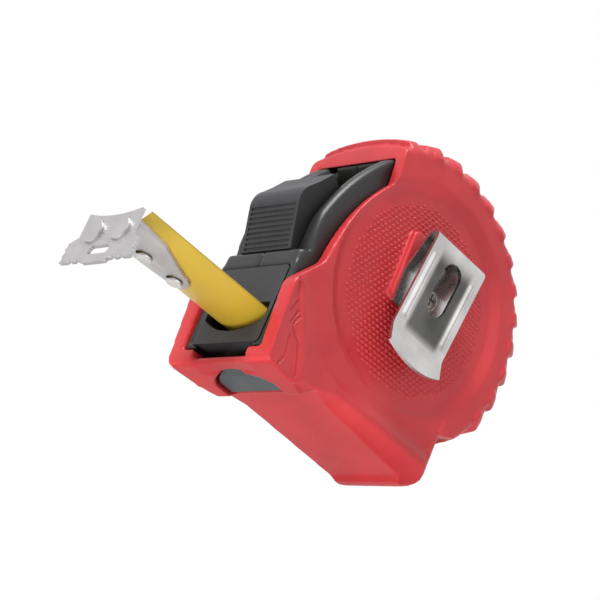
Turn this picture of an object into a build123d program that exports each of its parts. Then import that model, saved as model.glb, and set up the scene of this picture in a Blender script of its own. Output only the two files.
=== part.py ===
# Pocket tape measure, 5 m by 19 mm, with a rubber jacket, thumb lock and finger brake.
# Frame in millimetres: X is the way the blade runs out, Z is up, +Y is the belt clip's side.
# The origin is on the resting plane, under the reel's axis and in the middle of the width.
import os
from math import acos, asin, cos, degrees, radians, sin, sqrt

from build123d import *

os.makedirs("parts", exist_ok=True)

# Whole tool
AXIS_H = 38.0            # reel axis above the resting plane
SIDE_T = 3.05            # jacket's side wall at the rims
FIT = 0.15               # gap between the jacket and the case, all round
RUN = 0.3                # running clearance between pieces that move past each other
SEAT = 0.05              # clearance of pieces that sit in pockets

# Crown: the round back and top, barrel-shaped, about its own centre
CROWN_X = 0.9
CROWN_UP = 0.1           # crown centre above the reel axis
GRIP_R = 39.1            # over the grip pads, in the middle of the width
BARREL_DROP = 2.1        # the crown's rims lie this far inside its middle
PAD_H = 1.7              # pads stand this far out
JACKET_T = 2.2           # jacket wall at its thinnest
GRIP_FIRST = 59.0        # degrees, front end of the crown
GRIP_LAST = 219.0        # degrees, lower end of the grip at the back
BACK_JOIN = 212.0        # degrees, where the case's back meets the crown

# Track: the curved front that the thumb lock runs on, about a centre behind the case
TRACK_PROUD = 0.1        # foremost place of the beads ahead of the front panel
TRACK_DOWN = 11.8        # track's centre below the reel axis
TRACK_R = 58.6           # crest of the two beads
CHEEK_BACK = 5.3         # the jacket's cheeks stop this far behind the beads
TRACK_TOP = 41.0         # degrees, upper end of the lock window
TRACK_LOW = 3.4          # degrees, lower end of the lock window

# Jacket
LIP_X = 35.6             # front of the lips at the toe
LIP_RAKE = 1.8           # the lips lean forward by this much up to the shoulder
LIP_R = 2.0              # rounding of the lips' lower corners
SHOULDER_Z = 19.8        # where the lips turn back to the cheeks
SHOULDER_R = 4.5
BASE_REAR = 1.0          # base panel above the resting plane, at the heel
BASE_FRONT = 2.8         # and at the toe
HEEL_X = -23.2           # rear end of the heel
HEEL_W = 4.0             # length of the heel pad
HEEL_R = 2.4             # rounding of the heel in the side view
HEEL_RIM = 1.8           # the rear rim stands out of the flanks over this length
HEEL_SIDE_R = 9.0        # rounding of the heel's lower corners, seen from behind
HEEL_PLAN_R = 5.0        # rounding of the back's corners, seen from above
BACK_LEAN = 0.6          # the back leans out by this much up to the lowest grip
TOE_REAR = 20.6          # rear end of the toe
CHIN_T = 2.0             # top of the chin bar
CHIN_RISE = 0.7          # arch under the chin bar
CHIN_BACK = 0.8          # the chin bar lies behind the lips by this much
LUG_IN = 9.2             # lugs inside the lips' feet, from the middle
LUG_T = 3.6              # top of the lugs
FOOT_FLAT = 10.5         # half the width of the base panel's flat
FOOT_Z = 5.4             # height of the widest place of the foot
FLARE = 1.5              # the flanks draw in above the foot by this much
FOOT_ROUND = 2.0
VALLEY_Z = 8.9           # height of the narrowest place above the foot
VALLEY_ROUND = 6.0
FULL_Z = 20.0            # height where the flanks are full width again
FOOT_FRONT = 12.0        # the foot starts to run out into the toe here
FOOT_END = 25.0          # and is gone here
CHEEK_TOP = 36.0         # degrees, the cheeks run into the crown here
CHEEK_LOW = 3.0          # degrees, the cheeks run into the lips here
RIM_R = 1.6              # rounding of the crown's side edges
DISH_R = 29.0            # dished ring on each side
DISH_DEEP = 1.5
DISC_R = 23.4            # textured disc in the dish
DISC_DEEP = 0.7          # the disc is domed, and its middle lies this far under the rim
PADS = 12
PAD_FIRST = 66.2         # degrees, foot of the first pad
PAD_PITCH = 11.8         # degrees
PAD_SPAN = 10.6          # degrees, length of a pad at its root
PAD_SLOPE = 0.42         # share of the span taken by the gentle flank
PAD_STEEP = 0.9          # and where the steep flank starts
PAD_INSET = 0.5          # the pads stop short of the jacket's sides
PAD_EASE = 1.6           # sloped ends of the pads
BROW_SPAN = 6.5          # degrees, length of the brow over the lock window
LEDGE_L = 19.5           # raised ledge under the belt clip, along X
LEDGE_H = 18.5           # and along Z
LEDGE_T = 1.6            # above the disc

# Case
CASE_T = 1.6             # wall
REEL_GAP = 0.7           # between the reel's flanges and the case's sides
FLOOR_Z = 4.0            # underside of the case
FRONT_X = 35.6           # front panel
SEAM_DOWN = 0.9          # the mouth guide ends this far below the track's centre
PANEL_DEEP = 7.1         # depth of the front wall between the beads
WINDOW_GAP = 0.5         # lock window beside the lock
LEDGE_IN = 1.7           # the lock's rails stand into the window by this much
RAIL_T = 1.6
BEAD_R = 1.9             # rounding of the beads
BEAD_END = 44.0          # degrees, where the beads run in under the jacket
POST_BOSS_R = 5.2
SCREW_BOSS_R = 2.0
SCREW_R = 0.9
SCREW_HEAD_R = 1.7
SCREW_HEAD_T = 1.1
SCREW_PLACES = [(135.0, 27.1), (60.0, 27.1), (216.0, 26.2), (322.0, 28.0)]  # degrees and radius

# Blade
BLADE_W = 19.0
BLADE_T = 0.3
CUP = 3.4                # depth of the blade's cupped section
BLADE_EDGE_Z = 13.4      # height of the blade's edges
OUT = 39.1               # blade out of the mouth, as it is shown
TAIL = 9.0               # blade still in the case, behind the front panel
COIL_R = 21.9            # 5 m of blade wound on the drum
LEAD_END_X = 23.5        # front end of the flat run

# Mouth guide
GUIDE_L = 5.6            # length along the blade
GUIDE_Z = 5.0            # underside
GUIDE_SIDE = 1.1         # wall beside the slot
SLOT_SIDE = 0.6          # slot beside the blade's edges
SLOT_ABOVE = 2.0         # slot above the blade's edges
SLOT_BELOW = 1.9         # slot below the blade's belly
GUIDE_R = 1.2            # rounded front corners

# Reel
POST_R = 3.2
PIN_FIT = 0.07           # radial clearance of the drum on its post
DRUM_R = 15.0
DRUM_T = 1.2
FLANGE_R = 23.5
FLANGE_T = 0.8
FLANGE_GAP = 0.4         # between the blade's edges and the flanges
SPRING_T = 0.5
SPRING_HALF = 8.8
SPRING_TURNS = 4
SPRING_IN = 4.4          # inner radius of the spiral

# Thumb lock
LOCK_HALF = 8.4
LOCK_LOW = 3.8           # degrees, lower end at rest
LOCK_HIGH = 32.0         # degrees, upper end at rest
LOCK_T = 1.6             # plate
LOCK_SINK = 0.3          # the plate's lower end lies this far under the beads
CREST = 5.1              # thumb crest above the beads
CREST_AT = 16.3          # degrees
CREST_SPAN = 2.5         # degrees, half the length of the rounded crest
CREST_RAMP = 0.90        # share of the crest's height where the ridged ramp ends
CREST_FALL = 0.86        # and where the slope behind it starts
LOCK_BACK = 21.6         # degrees, foot of the slope behind the crest
LOCK_BACK_UP = 3.4
LOCK_END_UP = 1.9        # upper end above the beads
RIDGES = 9
RIDGE_W = 0.65
RIDGE_FIRST = 0.6        # first groove from the lower end, in grooves
RIDGED = 0.96            # share of the ramp that is grooved
RIDGE_EDGE = 0.9         # grooves stop short of the lock's sides
SHOE_HALF = 4.4
SHOE_LOW = 7.0           # degrees, where the shoe's arm joins the lock
SHOE_HIGH = 12.0
SHOE_X = 25.4            # rear face of the shoe
SHOE_L = 1.5

# Finger brake
BRAKE_X = 30.2           # front of the button
BRAKE_REAR = 19.8        # rear edge
BRAKE_ARC_R = 10.5       # round front edge, seen from below
BRAKE_HALF = 9.0
BRAKE_Z = 1.0            # underside
BRAKE_ROLL = 1.2         # the underside's front and rear edges rise by this much
BRAKE_TOP = 3.4
BRAKE_PIN_X = 21.2
BRAKE_PIN_Z = 5.0
BRAKE_PIN_R = 0.75
BRAKE_EAR_R = 1.4
BRAKE_PAD_Y = 6.2        # middle of each pad that meets the blade
BRAKE_PAD_W = 3.0
BRAKE_PAD_L = 2.4
BRAKE_PAD_Z = 8.4
LEAF_T = 0.4
LEAF_W = 3.0
LEAF_REAR = 8.0          # rear end of the return leaf
LEAF_FLAT = 7.0          # length that lies on the floor

# End hook
HOOK_T = 1.0
HOOK_TOP_W = 18.0
HOOK_W = 24.4
HOOK_H = 12.6
HOOK_LOBE = 0.6          # middle lobe below the lower edge
HOOK_NECK = 6.2          # straight part below the top edge
SLOT_L = 7.2
SLOT_H = 2.1
HOOK_SLOT_DOWN = 10.0
TOOTH = 0.9              # depth of the scallops on the hook's sides
MAGNET_R = 3.0
MAGNET_T = 1.7
MAGNET_AT = 4.6          # from the middle
MAGNET_DOWN = 5.0        # below the hook's top
TAB_L = 23.6
TAB_ROOT_W = 15.0
TAB_TIP_W = 6.5
TAB_T = 0.8
PLAY = 1.0               # the hook floats by its own thickness
RIVET_R = 1.1
RIVET_HEAD_R = 1.9
RIVET_HEAD_T = 0.5
RIVETS_AT = [10.4, 20.3]  # behind the hook's plate

# Belt clip
CLIP_W = 18.4
CLIP_T = 0.8
CLIP_TOP = 13.2          # sharp fold line above the reel axis, before its rounding
CLIP_LOW = 11.8          # lower bend below the axis
CLIP_FOOT = 6.0          # screwed plate below the axis
CLIP_KNEE = 3.4          # top of the screwed plate above the axis
CLIP_FAR = 6.6          # fold line from the screwed plate
CLIP_NEAR = 3.0          # lower bend from the screwed plate
CLIP_BEND_R = 1.4        # middle line of the bends
CLIP_FLARE = 2.2
CLIP_FLARE_L = 7.4
KEYHOLE_W = 6.2
KEYHOLE_H = 13.6
KEYHOLE_UP = 2.2
RIB_L = 15.0
RIB_W = 1.3
RIB_UP = 0.4
RIB_AT = 6.3             # ribs from the middle
RIB_DOWN = 1.5           # ribs below the middle of the leaf
CLIP_SCREW_R = 1.25
CLIP_HEAD_R = 2.7
CLIP_HEAD_T = 1.6
CLIP_SCREW_L = 9.0
CROSS_W = 0.7
CROSS_L = 3.2

# Worked out from the sizes above
FLANGE_IN = BLADE_W / 2 + FLANGE_GAP
CASE_HALF = FLANGE_IN + FLANGE_T + REEL_GAP + CASE_T
CAVITY_HALF = CASE_HALF + FIT
HALF_W = CAVITY_HALF + SIDE_T
AXIS = (0.0, AXIS_H)
CROWN = (CROWN_X, AXIS_H + CROWN_UP)
TRACK_X = FRONT_X + TRACK_PROUD - TRACK_R
TRACK_Z = AXIS_H - TRACK_DOWN
TRACK = (TRACK_X, TRACK_Z)
SEAM_Z = TRACK_Z - SEAM_DOWN
ROOT_R = GRIP_R - PAD_H
BARREL_R = (HALF_W ** 2 + BARREL_DROP ** 2) / (2 * BARREL_DROP)
RIM_ROOT = ROOT_R - BARREL_DROP
CASE_R = RIM_ROOT - JACKET_T
INSIDE_R = CASE_R - CASE_T
CHEEK_R = TRACK_R - CHEEK_BACK
RAIL_R = TRACK_R - LOCK_SINK - LOCK_T - RUN
DISC_Y = HALF_W - DISC_DEEP
WINDOW_HALF = LOCK_HALF + WINDOW_GAP
GUIDE_REAR = FRONT_X - GUIDE_L
SLOT_HALF = BLADE_W / 2 + SLOT_SIDE
GUIDE_HALF = SLOT_HALF + GUIDE_SIDE
BLADE_R = ((BLADE_W / 2) ** 2 + CUP ** 2) / (2 * CUP)
BLADE_BELLY = BLADE_EDGE_Z - CUP
BLADE_MID = BLADE_BELLY + BLADE_R
HOOK_BACK = FRONT_X + OUT
BLADE_END = HOOK_BACK - PLAY - RUN
BLADE_START = FRONT_X - TAIL
CLIP_Y = DISC_Y + LEDGE_T
BACK_X = HEEL_X + JACKET_T + FIT
BACK_Z = AXIS_H - DISC_R
FAR = 200.0
SIDES = (1, -1)


def polar(centre, radius, angle):
    """Point on a circle in the side view, angle in degrees from forward to up."""
    return (centre[0] + radius * cos(radians(angle)), centre[1] + radius * sin(radians(angle)))


def side_plane(y):
    """Side view (X right, Z up) at a distance y from the middle."""
    return Plane.XZ.offset(-y)


def cross_axis(centre):
    """Axis across the tool through a point of the side view, turning from forward to up."""
    return Axis((centre[0], 0, centre[1]), (0, -1, 0))


def rim_corner(centre, angle, radius, y, away, rounding):
    """Sharp corner that a rounding takes off a round rim; away points out of the solid along Y."""
    turn = radians(angle)
    cut = Plane((centre[0], 0, centre[1]), x_dir=(cos(turn), 0, sin(turn)), z_dir=(-sin(turn), 0, cos(turn)))
    grow = Align.MIN if away > 0 else Align.MAX
    with BuildSketch(cut) as corner:
        with Locations((radius - rounding, y - away * rounding)):
            Rectangle(2 * rounding, 2 * rounding, align=(Align.MIN, grow))
            Circle(rounding, mode=Mode.SUBTRACT)
    return corner.sketch


def nearest(vertices, point):
    """The corner of a sketch that lies closest to a point."""
    return vertices.sort_by_distance((point[0], point[1], 0))[0]


def save(part, name):
    part.label = name
    export_step(part, f"parts/{name}.step")
    print(name, "volume", round(part.volume, 1))


def case_shape(grow):
    """Side view of the black case, grown by a gap, drawn in the open sketch."""
    low = FLOOR_Z - grow
    front = FRONT_X + grow
    with Locations(CROWN):
        Circle(CASE_R + grow)
    with Locations(TRACK):
        Circle(TRACK_R + grow, mode=Mode.INTERSECT)
    with Locations((0, low)):
        Rectangle(2 * FAR, FAR, align=(Align.CENTER, Align.MIN), mode=Mode.INTERSECT)
    panel_top = TRACK_Z + sqrt((TRACK_R + grow) ** 2 - (front - TRACK_X) ** 2)
    Polygon(
        (BACK_X - grow, low),
        (front, low),
        (front, panel_top),
        CROWN,
        polar(CROWN, CASE_R + grow, BACK_JOIN),
        (BACK_X - grow, BACK_Z),
        align=None,
    )


def inside_shape():
    """Side view of the room inside the case."""
    back = BACK_X + CASE_T
    floor = FLOOR_Z + CASE_T
    with Locations(CROWN):
        Circle(INSIDE_R)
    with Locations(TRACK):
        Circle(TRACK_R - PANEL_DEEP, mode=Mode.INTERSECT)
    with Locations((0, floor)):
        Rectangle(2 * FAR, FAR, align=(Align.CENTER, Align.MIN), mode=Mode.INTERSECT)
    Polygon(
        (back, floor),
        (GUIDE_REAR, floor),
        (GUIDE_REAR, SEAM_Z),
        CROWN,
        polar(CROWN, INSIDE_R, BACK_JOIN),
        (back, BACK_Z),
        align=None,
    )


def track_band(inner, outer, low, high):
    """Band of the curved track between two radii and two angles, drawn in the open sketch."""
    reach = outer * 2
    with Locations(TRACK):
        Circle(outer)
        Circle(inner, mode=Mode.SUBTRACT)
    Polygon(TRACK, polar(TRACK, reach, low), polar(TRACK, reach, high), align=None, mode=Mode.INTERSECT)


def blade_section(above, below, half):
    """Cupped section of the blade in the front view, thickened above and below, to a half width."""
    with Locations((0, BLADE_MID)):
        Circle(BLADE_R + below)
        Circle(BLADE_R - above, mode=Mode.SUBTRACT)
    with Locations((0, BLADE_MID - BLADE_R)):
        Rectangle(2 * half, 2 * (BLADE_R - sqrt(BLADE_R ** 2 - half ** 2)) + 2 * CUP, mode=Mode.INTERSECT)


def brake_plan(grow):
    """Finger brake's button seen from below, grown by a gap, drawn in the open sketch."""
    with Locations((BRAKE_X - BRAKE_ARC_R, 0)):
        Circle(BRAKE_ARC_R + grow)
    with Locations((BRAKE_REAR - grow, 0)):
        Rectangle(FAR, 2 * (BRAKE_HALF + grow), align=(Align.MIN, Align.CENTER), mode=Mode.INTERSECT)


def barrel(radius, half, ease, size):
    """Section of a barrel-shaped crown above its axis: radius in the middle, half width, eased rims."""
    rim = CROWN[1] + radius - BARREL_R + sqrt(BARREL_R ** 2 - half ** 2)
    with BuildSketch(Plane.YZ.offset(CROWN_X)) as section:
        with Locations((0, CROWN[1])):
            Rectangle(2 * half, radius, align=(Align.CENTER, Align.MIN))
        with Locations((0, CROWN[1] + radius - BARREL_R)):
            Circle(BARREL_R, mode=Mode.INTERSECT)
        for side in SIDES:
            ease(nearest(section.vertices(), (side * half, rim)), size)
    return section.sketch


def flank_trim(x, side, flat, foot, pinch):
    """What the drawn-in flank above the foot takes off one side, at a place along the tool."""
    with BuildSketch(Plane.YZ.offset(x)) as trim:
        Polygon(
            (side * flat, 0),
            (side * HALF_W, foot),
            (side * (HALF_W - pinch), VALLEY_Z),
            (side * HALF_W, FULL_Z),
            (side * (HALF_W + FLARE), FULL_Z),
            (side * (HALF_W + FLARE), -FLARE),
            (side * flat, -FLARE),
            align=None,
        )
        fillet(nearest(trim.vertices(), (side * HALF_W, foot)), FOOT_ROUND)
        fillet(nearest(trim.vertices(), (side * (HALF_W - pinch), VALLEY_Z)), VALLEY_ROUND)
    return trim.sketch


# Crown: cheeks and top bar, turned to a barrel shape behind and above the crown's centre
bar_tip = polar(TRACK, TRACK_R - RUN, TRACK_TOP)
bar_top = polar(CROWN, GRIP_R, GRIP_FIRST)
bar_back = polar(CROWN, GRIP_R, GRIP_FIRST + 2 * PAD_PITCH)
with BuildPart() as crown:
    with BuildSketch(Plane.XZ):
        with Locations(TRACK):
            Circle(CHEEK_R)
        Polygon(CROWN, polar(TRACK, CHEEK_R, CHEEK_TOP), bar_tip, bar_top, bar_back, align=None)
        Polygon(
            CROWN,
            (FAR, CROWN[1]),
            (FAR, FAR),
            (-FAR, FAR),
            polar(CROWN, 2 * FAR, GRIP_LAST),
            align=None,
            mode=Mode.INTERSECT,
        )
    extrude(amount=HALF_W, both=True)
    revolve(barrel(ROOT_R, HALF_W, fillet, RIM_R), axis=cross_axis(CROWN), mode=Mode.INTERSECT)

# Grip pads: a gentle and a steep flank each, behind the brow over the lock window
with BuildPart() as pads:
    pad_root = RIM_ROOT - JACKET_T / 2
    pad_top = GRIP_R + PAD_H
    with BuildSketch(Plane.XZ):
        Polygon(
            polar(CROWN, pad_root, GRIP_FIRST),
            polar(CROWN, pad_top, GRIP_FIRST),
            polar(CROWN, pad_top, GRIP_FIRST + BROW_SPAN * PAD_SLOPE),
            polar(CROWN, pad_root, GRIP_FIRST + BROW_SPAN),
            align=None,
        )
        for pad in range(PADS):
            start = PAD_FIRST + pad * PAD_PITCH
            Polygon(
                polar(CROWN, pad_root, start),
                polar(CROWN, pad_top, start + PAD_SPAN * PAD_SLOPE),
                polar(CROWN, pad_top, start + PAD_SPAN * PAD_STEEP),
                polar(CROWN, pad_root, start + PAD_SPAN),
                align=None,
            )
    extrude(amount=HALF_W - PAD_INSET, both=True)
    pad_section = barrel(GRIP_R, HALF_W - PAD_INSET, chamfer, PAD_EASE)
    revolve(pad_section, axis=cross_axis(CROWN), mode=Mode.INTERSECT)

# Jacket: lips, toe, base and heel under the crown, drawn-in flanks, dishes, ledge, then the case's hollow
shoulder = (LIP_X + LIP_RAKE, SHOULDER_Z)
cheek_low = polar(TRACK, CHEEK_R, CHEEK_LOW)
lip_low = (LIP_X, 0)
base_start = HEEL_X + HEEL_W
with BuildPart() as jacket:
    with BuildSketch(Plane.XZ) as jacket_side:
        with Locations(TRACK):
            Circle(CHEEK_R)
        with Locations(CROWN):
            Rectangle(FAR, CROWN[1] - cheek_low[1], align=(Align.MIN, Align.MAX), mode=Mode.INTERSECT)
        Polygon(
            (HEEL_X, 0),
            (base_start, 0),
            (base_start + BASE_REAR, BASE_REAR),
            (TOE_REAR - BASE_FRONT, BASE_FRONT),
            (TOE_REAR, 0),
            lip_low,
            shoulder,
            cheek_low,
            CROWN,
            polar(CROWN, RIM_ROOT, GRIP_LAST),
            (HEEL_X - BACK_LEAN, BACK_Z),
            align=None,
        )
        fillet(nearest(jacket_side.vertices(), lip_low), LIP_R)
        fillet(nearest(jacket_side.vertices(), shoulder), SHOULDER_R)
        fillet(nearest(jacket_side.vertices(), cheek_low), SHOULDER_R)
        fillet(nearest(jacket_side.vertices(), (HEEL_X, 0)), HEEL_R)
    extrude(amount=HALF_W, both=True)
    add(crown.part)
    add(pads.part)
    for side in SIDES:
        flank = flank_trim(FOOT_FRONT, side, FOOT_FLAT, FOOT_Z, FLARE)
        toe = flank_trim(FOOT_END, side, HALF_W - FLARE / 2, FLARE, FLARE / 10)
        extrude(flank, amount=HEEL_X + HEEL_RIM - FOOT_FRONT, mode=Mode.SUBTRACT)
        loft([flank, toe], ruled=True, mode=Mode.SUBTRACT)
        with BuildSketch(Plane.YZ.offset(HEEL_X + HEEL_RIM)):
            with Locations((side * (HALF_W - HEEL_SIDE_R), HEEL_SIDE_R)):
                grow = Align.MIN if side > 0 else Align.MAX
                Rectangle(2 * HEEL_SIDE_R, 2 * HEEL_SIDE_R, align=(grow, Align.MAX))
                Circle(HEEL_SIDE_R, mode=Mode.SUBTRACT)
        extrude(amount=-FAR / 4, mode=Mode.SUBTRACT)
        with BuildSketch(Plane.XY):
            with Locations((HEEL_X - BACK_LEAN + HEEL_PLAN_R, side * (HALF_W - HEEL_PLAN_R))):
                Rectangle(2 * HEEL_PLAN_R, 2 * HEEL_PLAN_R, align=(Align.MAX, grow))
                Circle(HEEL_PLAN_R, mode=Mode.SUBTRACT)
        extrude(amount=BACK_Z, mode=Mode.SUBTRACT)
    dome = DISH_DEEP - DISC_DEEP
    dome_r = (DISC_R ** 2 + dome ** 2) / (2 * dome)
    dome_half = dome_r - sqrt(dome_r ** 2 - (DISC_R / 2) ** 2)
    for side in SIDES:
        with BuildSketch(Plane.YZ):
            with BuildLine():
                Polyline(
                    (side * DISC_Y, AXIS_H),
                    (side * FAR / 4, AXIS_H),
                    (side * FAR / 4, AXIS_H + DISH_R + FAR / 4 - HALF_W),
                    (side * HALF_W, AXIS_H + DISH_R),
                    (side * (HALF_W - DISH_DEEP), AXIS_H + DISH_R - 2 * DISH_DEEP),
                    (side * (HALF_W - DISH_DEEP), AXIS_H + DISC_R),
                )
                ThreePointArc(
                    (side * (HALF_W - DISH_DEEP), AXIS_H + DISC_R),
                    (side * (DISC_Y - dome_half), AXIS_H + DISC_R / 2),
                    (side * DISC_Y, AXIS_H),
                )
            make_face()
        revolve(axis=cross_axis(AXIS), mode=Mode.SUBTRACT)
    with BuildSketch(side_plane(DISC_Y - DISC_DEEP)):
        with Locations((0, AXIS_H + LEDGE_H / 4)):
            RectangleRounded(LEDGE_L, LEDGE_H, LEDGE_T)
    extrude(amount=-(LEDGE_T + DISC_DEEP))
    with BuildSketch(Plane.XZ):
        case_shape(FIT)
    extrude(amount=CAVITY_HALF, both=True, mode=Mode.SUBTRACT)
    for half, low in ((CAVITY_HALF, LUG_T), (LUG_IN, CHIN_T)):
        with BuildSketch(Plane.XZ):
            with Locations((GUIDE_REAR, low)):
                Rectangle(FAR / 4, TRACK_Z, align=(Align.MIN, Align.MIN))
        extrude(amount=half, both=True, mode=Mode.SUBTRACT)
    with BuildSketch(Plane.XY):
        brake_plan(2 * RUN)
    extrude(amount=FLOOR_Z + FIT, mode=Mode.SUBTRACT)
    chin_r = (LUG_IN ** 2 + CHIN_RISE ** 2) / (2 * CHIN_RISE)
    with BuildSketch(Plane.YZ.offset(BRAKE_X)):
        with Locations((0, CHIN_RISE - chin_r)):
            Circle(chin_r)
    extrude(amount=LIP_X, mode=Mode.SUBTRACT)
    with BuildSketch(Plane.XY):
        with Locations((LIP_X - CHIN_BACK, 0)):
            Rectangle(FAR / 4, 2 * LUG_IN, align=(Align.MIN, Align.CENTER))
    extrude(amount=LUG_T, mode=Mode.SUBTRACT)
    with BuildSketch(side_plane(CASE_HALF)):
        with Locations(AXIS):
            Circle(CLIP_SCREW_R + RUN)
    extrude(amount=-HALF_W, mode=Mode.SUBTRACT)
save(jacket.part, "jacket")


def case_half(side):
    """One half of the black case, side is +1 or -1."""
    depth = -side
    with BuildPart() as half:
        with BuildSketch(Plane.XZ):
            case_shape(0)
        extrude(amount=depth * CASE_HALF)
        with BuildSketch(Plane.XZ):
            inside_shape()
        extrude(amount=depth * (CASE_HALF - CASE_T), mode=Mode.SUBTRACT)
        with BuildSketch(Plane.XZ):
            track_band(RAIL_R, TRACK_R * 2, TRACK_LOW, TRACK_TOP)
        extrude(amount=depth * WINDOW_HALF, mode=Mode.SUBTRACT)
        with BuildSketch(Plane.XZ):
            track_band(TRACK_R - 2 * PANEL_DEEP, TRACK_R, TRACK_LOW, TRACK_TOP)
        extrude(amount=depth * (WINDOW_HALF - LEDGE_IN), mode=Mode.SUBTRACT)
        with BuildSketch(Plane.XZ):
            track_band(TRACK_R - 2 * PANEL_DEEP, RAIL_R - RAIL_T, TRACK_LOW, TRACK_TOP)
        extrude(amount=depth * WINDOW_HALF, mode=Mode.SUBTRACT)
        for edge, away, start in ((CASE_HALF, side, 0), (WINDOW_HALF, -side, TRACK_LOW)):
            bead = rim_corner(TRACK, start, TRACK_R, side * edge, away, BEAD_R)
            revolve(bead, axis=cross_axis(TRACK), revolution_arc=BEAD_END - start, mode=Mode.SUBTRACT)
        with BuildSketch(Plane.XZ):
            with Locations((GUIDE_REAR, GUIDE_Z - SEAT)):
                Rectangle(FAR / 4, SEAM_Z + 2 * SEAT - GUIDE_Z, align=(Align.MIN, Align.MIN))
        extrude(amount=depth * (GUIDE_HALF + SEAT), mode=Mode.SUBTRACT)
        with BuildSketch(Plane.XZ):
            with Locations((BRAKE_PIN_X - BRAKE_EAR_R - RUN, 0)):
                Rectangle(FAR / 4, FLOOR_Z + CASE_T + SEAT, align=(Align.MIN, Align.MIN))
        extrude(amount=depth * (BRAKE_HALF + RUN), mode=Mode.SUBTRACT)
        with BuildSketch(side_plane(side * (CASE_HALF - CASE_T))):
            with Locations(AXIS):
                Circle(POST_BOSS_R)
        extrude(amount=-depth * (CASE_HALF - CASE_T - FLANGE_IN - FLANGE_T - RUN))
        with BuildSketch(Plane.XZ):
            for angle, radius in SCREW_PLACES:
                with Locations(polar(AXIS, radius, angle)):
                    Circle(SCREW_BOSS_R)
        extrude(amount=depth * (CASE_HALF - CASE_T))
        with BuildSketch(Plane.XZ):
            for angle, radius in SCREW_PLACES:
                with Locations(polar(AXIS, radius, angle)):
                    Circle(SCREW_R + SEAT)
            with Locations(AXIS):
                Circle(POST_R + SEAT)
            with Locations((BRAKE_PIN_X, BRAKE_PIN_Z)):
                Circle(BRAKE_PIN_R + SEAT)
        extrude(amount=depth * CASE_HALF, mode=Mode.SUBTRACT)
        if side < 0:
            with BuildSketch(side_plane(-CASE_HALF)):
                for angle, radius in SCREW_PLACES:
                    with Locations(polar(AXIS, radius, angle)):
                        Circle(SCREW_HEAD_R + SEAT)
            extrude(amount=-SCREW_HEAD_T, mode=Mode.SUBTRACT)
    return half.part


save(case_half(1), "case_right")
save(case_half(-1), "case_left")

# Four screws, put in from the left half
with BuildPart() as case_screws:
    for angle, radius in SCREW_PLACES:
        spot = polar(AXIS, radius, angle)
        with BuildSketch(side_plane(-CASE_HALF)):
            with Locations(spot):
                Circle(SCREW_HEAD_R)
        extrude(amount=-SCREW_HEAD_T)
        with BuildSketch(side_plane(-CASE_HALF + SCREW_HEAD_T)):
            with Locations(spot):
                Circle(SCREW_R)
        extrude(amount=-(2 * CASE_HALF - 2 * SCREW_HEAD_T))
save(case_screws.part, "case_screws")

# Mouth guide: block with a D-shaped slot, flat above the blade and cupped below it
with BuildPart() as mouth_guide:
    with BuildSketch(Plane.YZ.offset(GUIDE_REAR + SEAT)):
        with Locations((0, (GUIDE_Z + SEAM_Z) / 2)):
            RectangleRounded(2 * GUIDE_HALF, SEAM_Z - GUIDE_Z, GUIDE_R)
    extrude(amount=GUIDE_L - 2 * SEAT)
    with BuildSketch(Plane.YZ):
        with Locations((0, BLADE_MID)):
            Circle(BLADE_R + SLOT_BELOW)
        slot_top = BLADE_EDGE_Z + SLOT_ABOVE
        with Locations((0, slot_top)):
            Rectangle(2 * SLOT_HALF, FAR / 2, align=(Align.CENTER, Align.MAX), mode=Mode.INTERSECT)
    extrude(amount=FAR, mode=Mode.SUBTRACT)
save(mouth_guide.part, "mouth_guide")

# Centre post, fixed in both halves, drilled for the clip's screw
with BuildPart() as axle_post:
    with BuildSketch(side_plane(CASE_HALF - SEAT)):
        with Locations(AXIS):
            Circle(POST_R)
    extrude(amount=2 * (CASE_HALF - SEAT))
    with BuildSketch(side_plane(CASE_HALF)):
        with Locations(AXIS):
            Circle(CLIP_SCREW_R + SEAT)
    extrude(amount=CLIP_SCREW_L, mode=Mode.SUBTRACT)
save(axle_post.part, "axle_post")

# Reel: drum with its left flange, and the right flange that closes the spring room
with BuildPart() as reel_drum:
    with BuildSketch(side_plane(-FLANGE_IN)):
        with Locations(AXIS):
            Circle(FLANGE_R)
            Circle(POST_R + PIN_FIT, mode=Mode.SUBTRACT)
    extrude(amount=FLANGE_T)
    with BuildSketch(side_plane(-FLANGE_IN)):
        with Locations(AXIS):
            Circle(DRUM_R)
            Circle(DRUM_R - DRUM_T, mode=Mode.SUBTRACT)
    extrude(amount=-2 * FLANGE_IN)
save(reel_drum.part, "reel_drum")

with BuildPart() as reel_flange:
    with BuildSketch(side_plane(FLANGE_IN)):
        with Locations(AXIS):
            Circle(FLANGE_R)
            Circle(POST_R + PIN_FIT, mode=Mode.SUBTRACT)
    extrude(amount=-FLANGE_T)
save(reel_flange.part, "reel_flange")

# Power spring: a spiral strip of half turns, from the post out to the drum's wall
spring_out = DRUM_R - DRUM_T - RUN - SPRING_T / 2
spring_step = (spring_out - SPRING_IN) / (2 * SPRING_TURNS - 1)
with BuildPart() as power_spring:
    with BuildSketch(side_plane(SPRING_HALF)):
        with BuildLine():
            for turn in range(2 * SPRING_TURNS - 1):
                near = SPRING_IN + turn * spring_step
                flip = 1 if turn % 2 == 0 else -1
                ThreePointArc(
                    (flip * near, AXIS_H),
                    (-flip * spring_step / 2, AXIS_H + flip * (near + spring_step / 2)),
                    (-flip * (near + spring_step), AXIS_H),
                )
        trace(line_width=SPRING_T)
    extrude(amount=2 * SPRING_HALF)
save(power_spring.part, "power_spring")

# Wound blade on the drum
with BuildPart() as blade_coil:
    with BuildSketch(side_plane(BLADE_W / 2)):
        with Locations(AXIS):
            Circle(COIL_R)
            Circle(DRUM_R + SEAT, mode=Mode.SUBTRACT)
    extrude(amount=BLADE_W)
save(blade_coil.part, "blade_coil")

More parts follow.
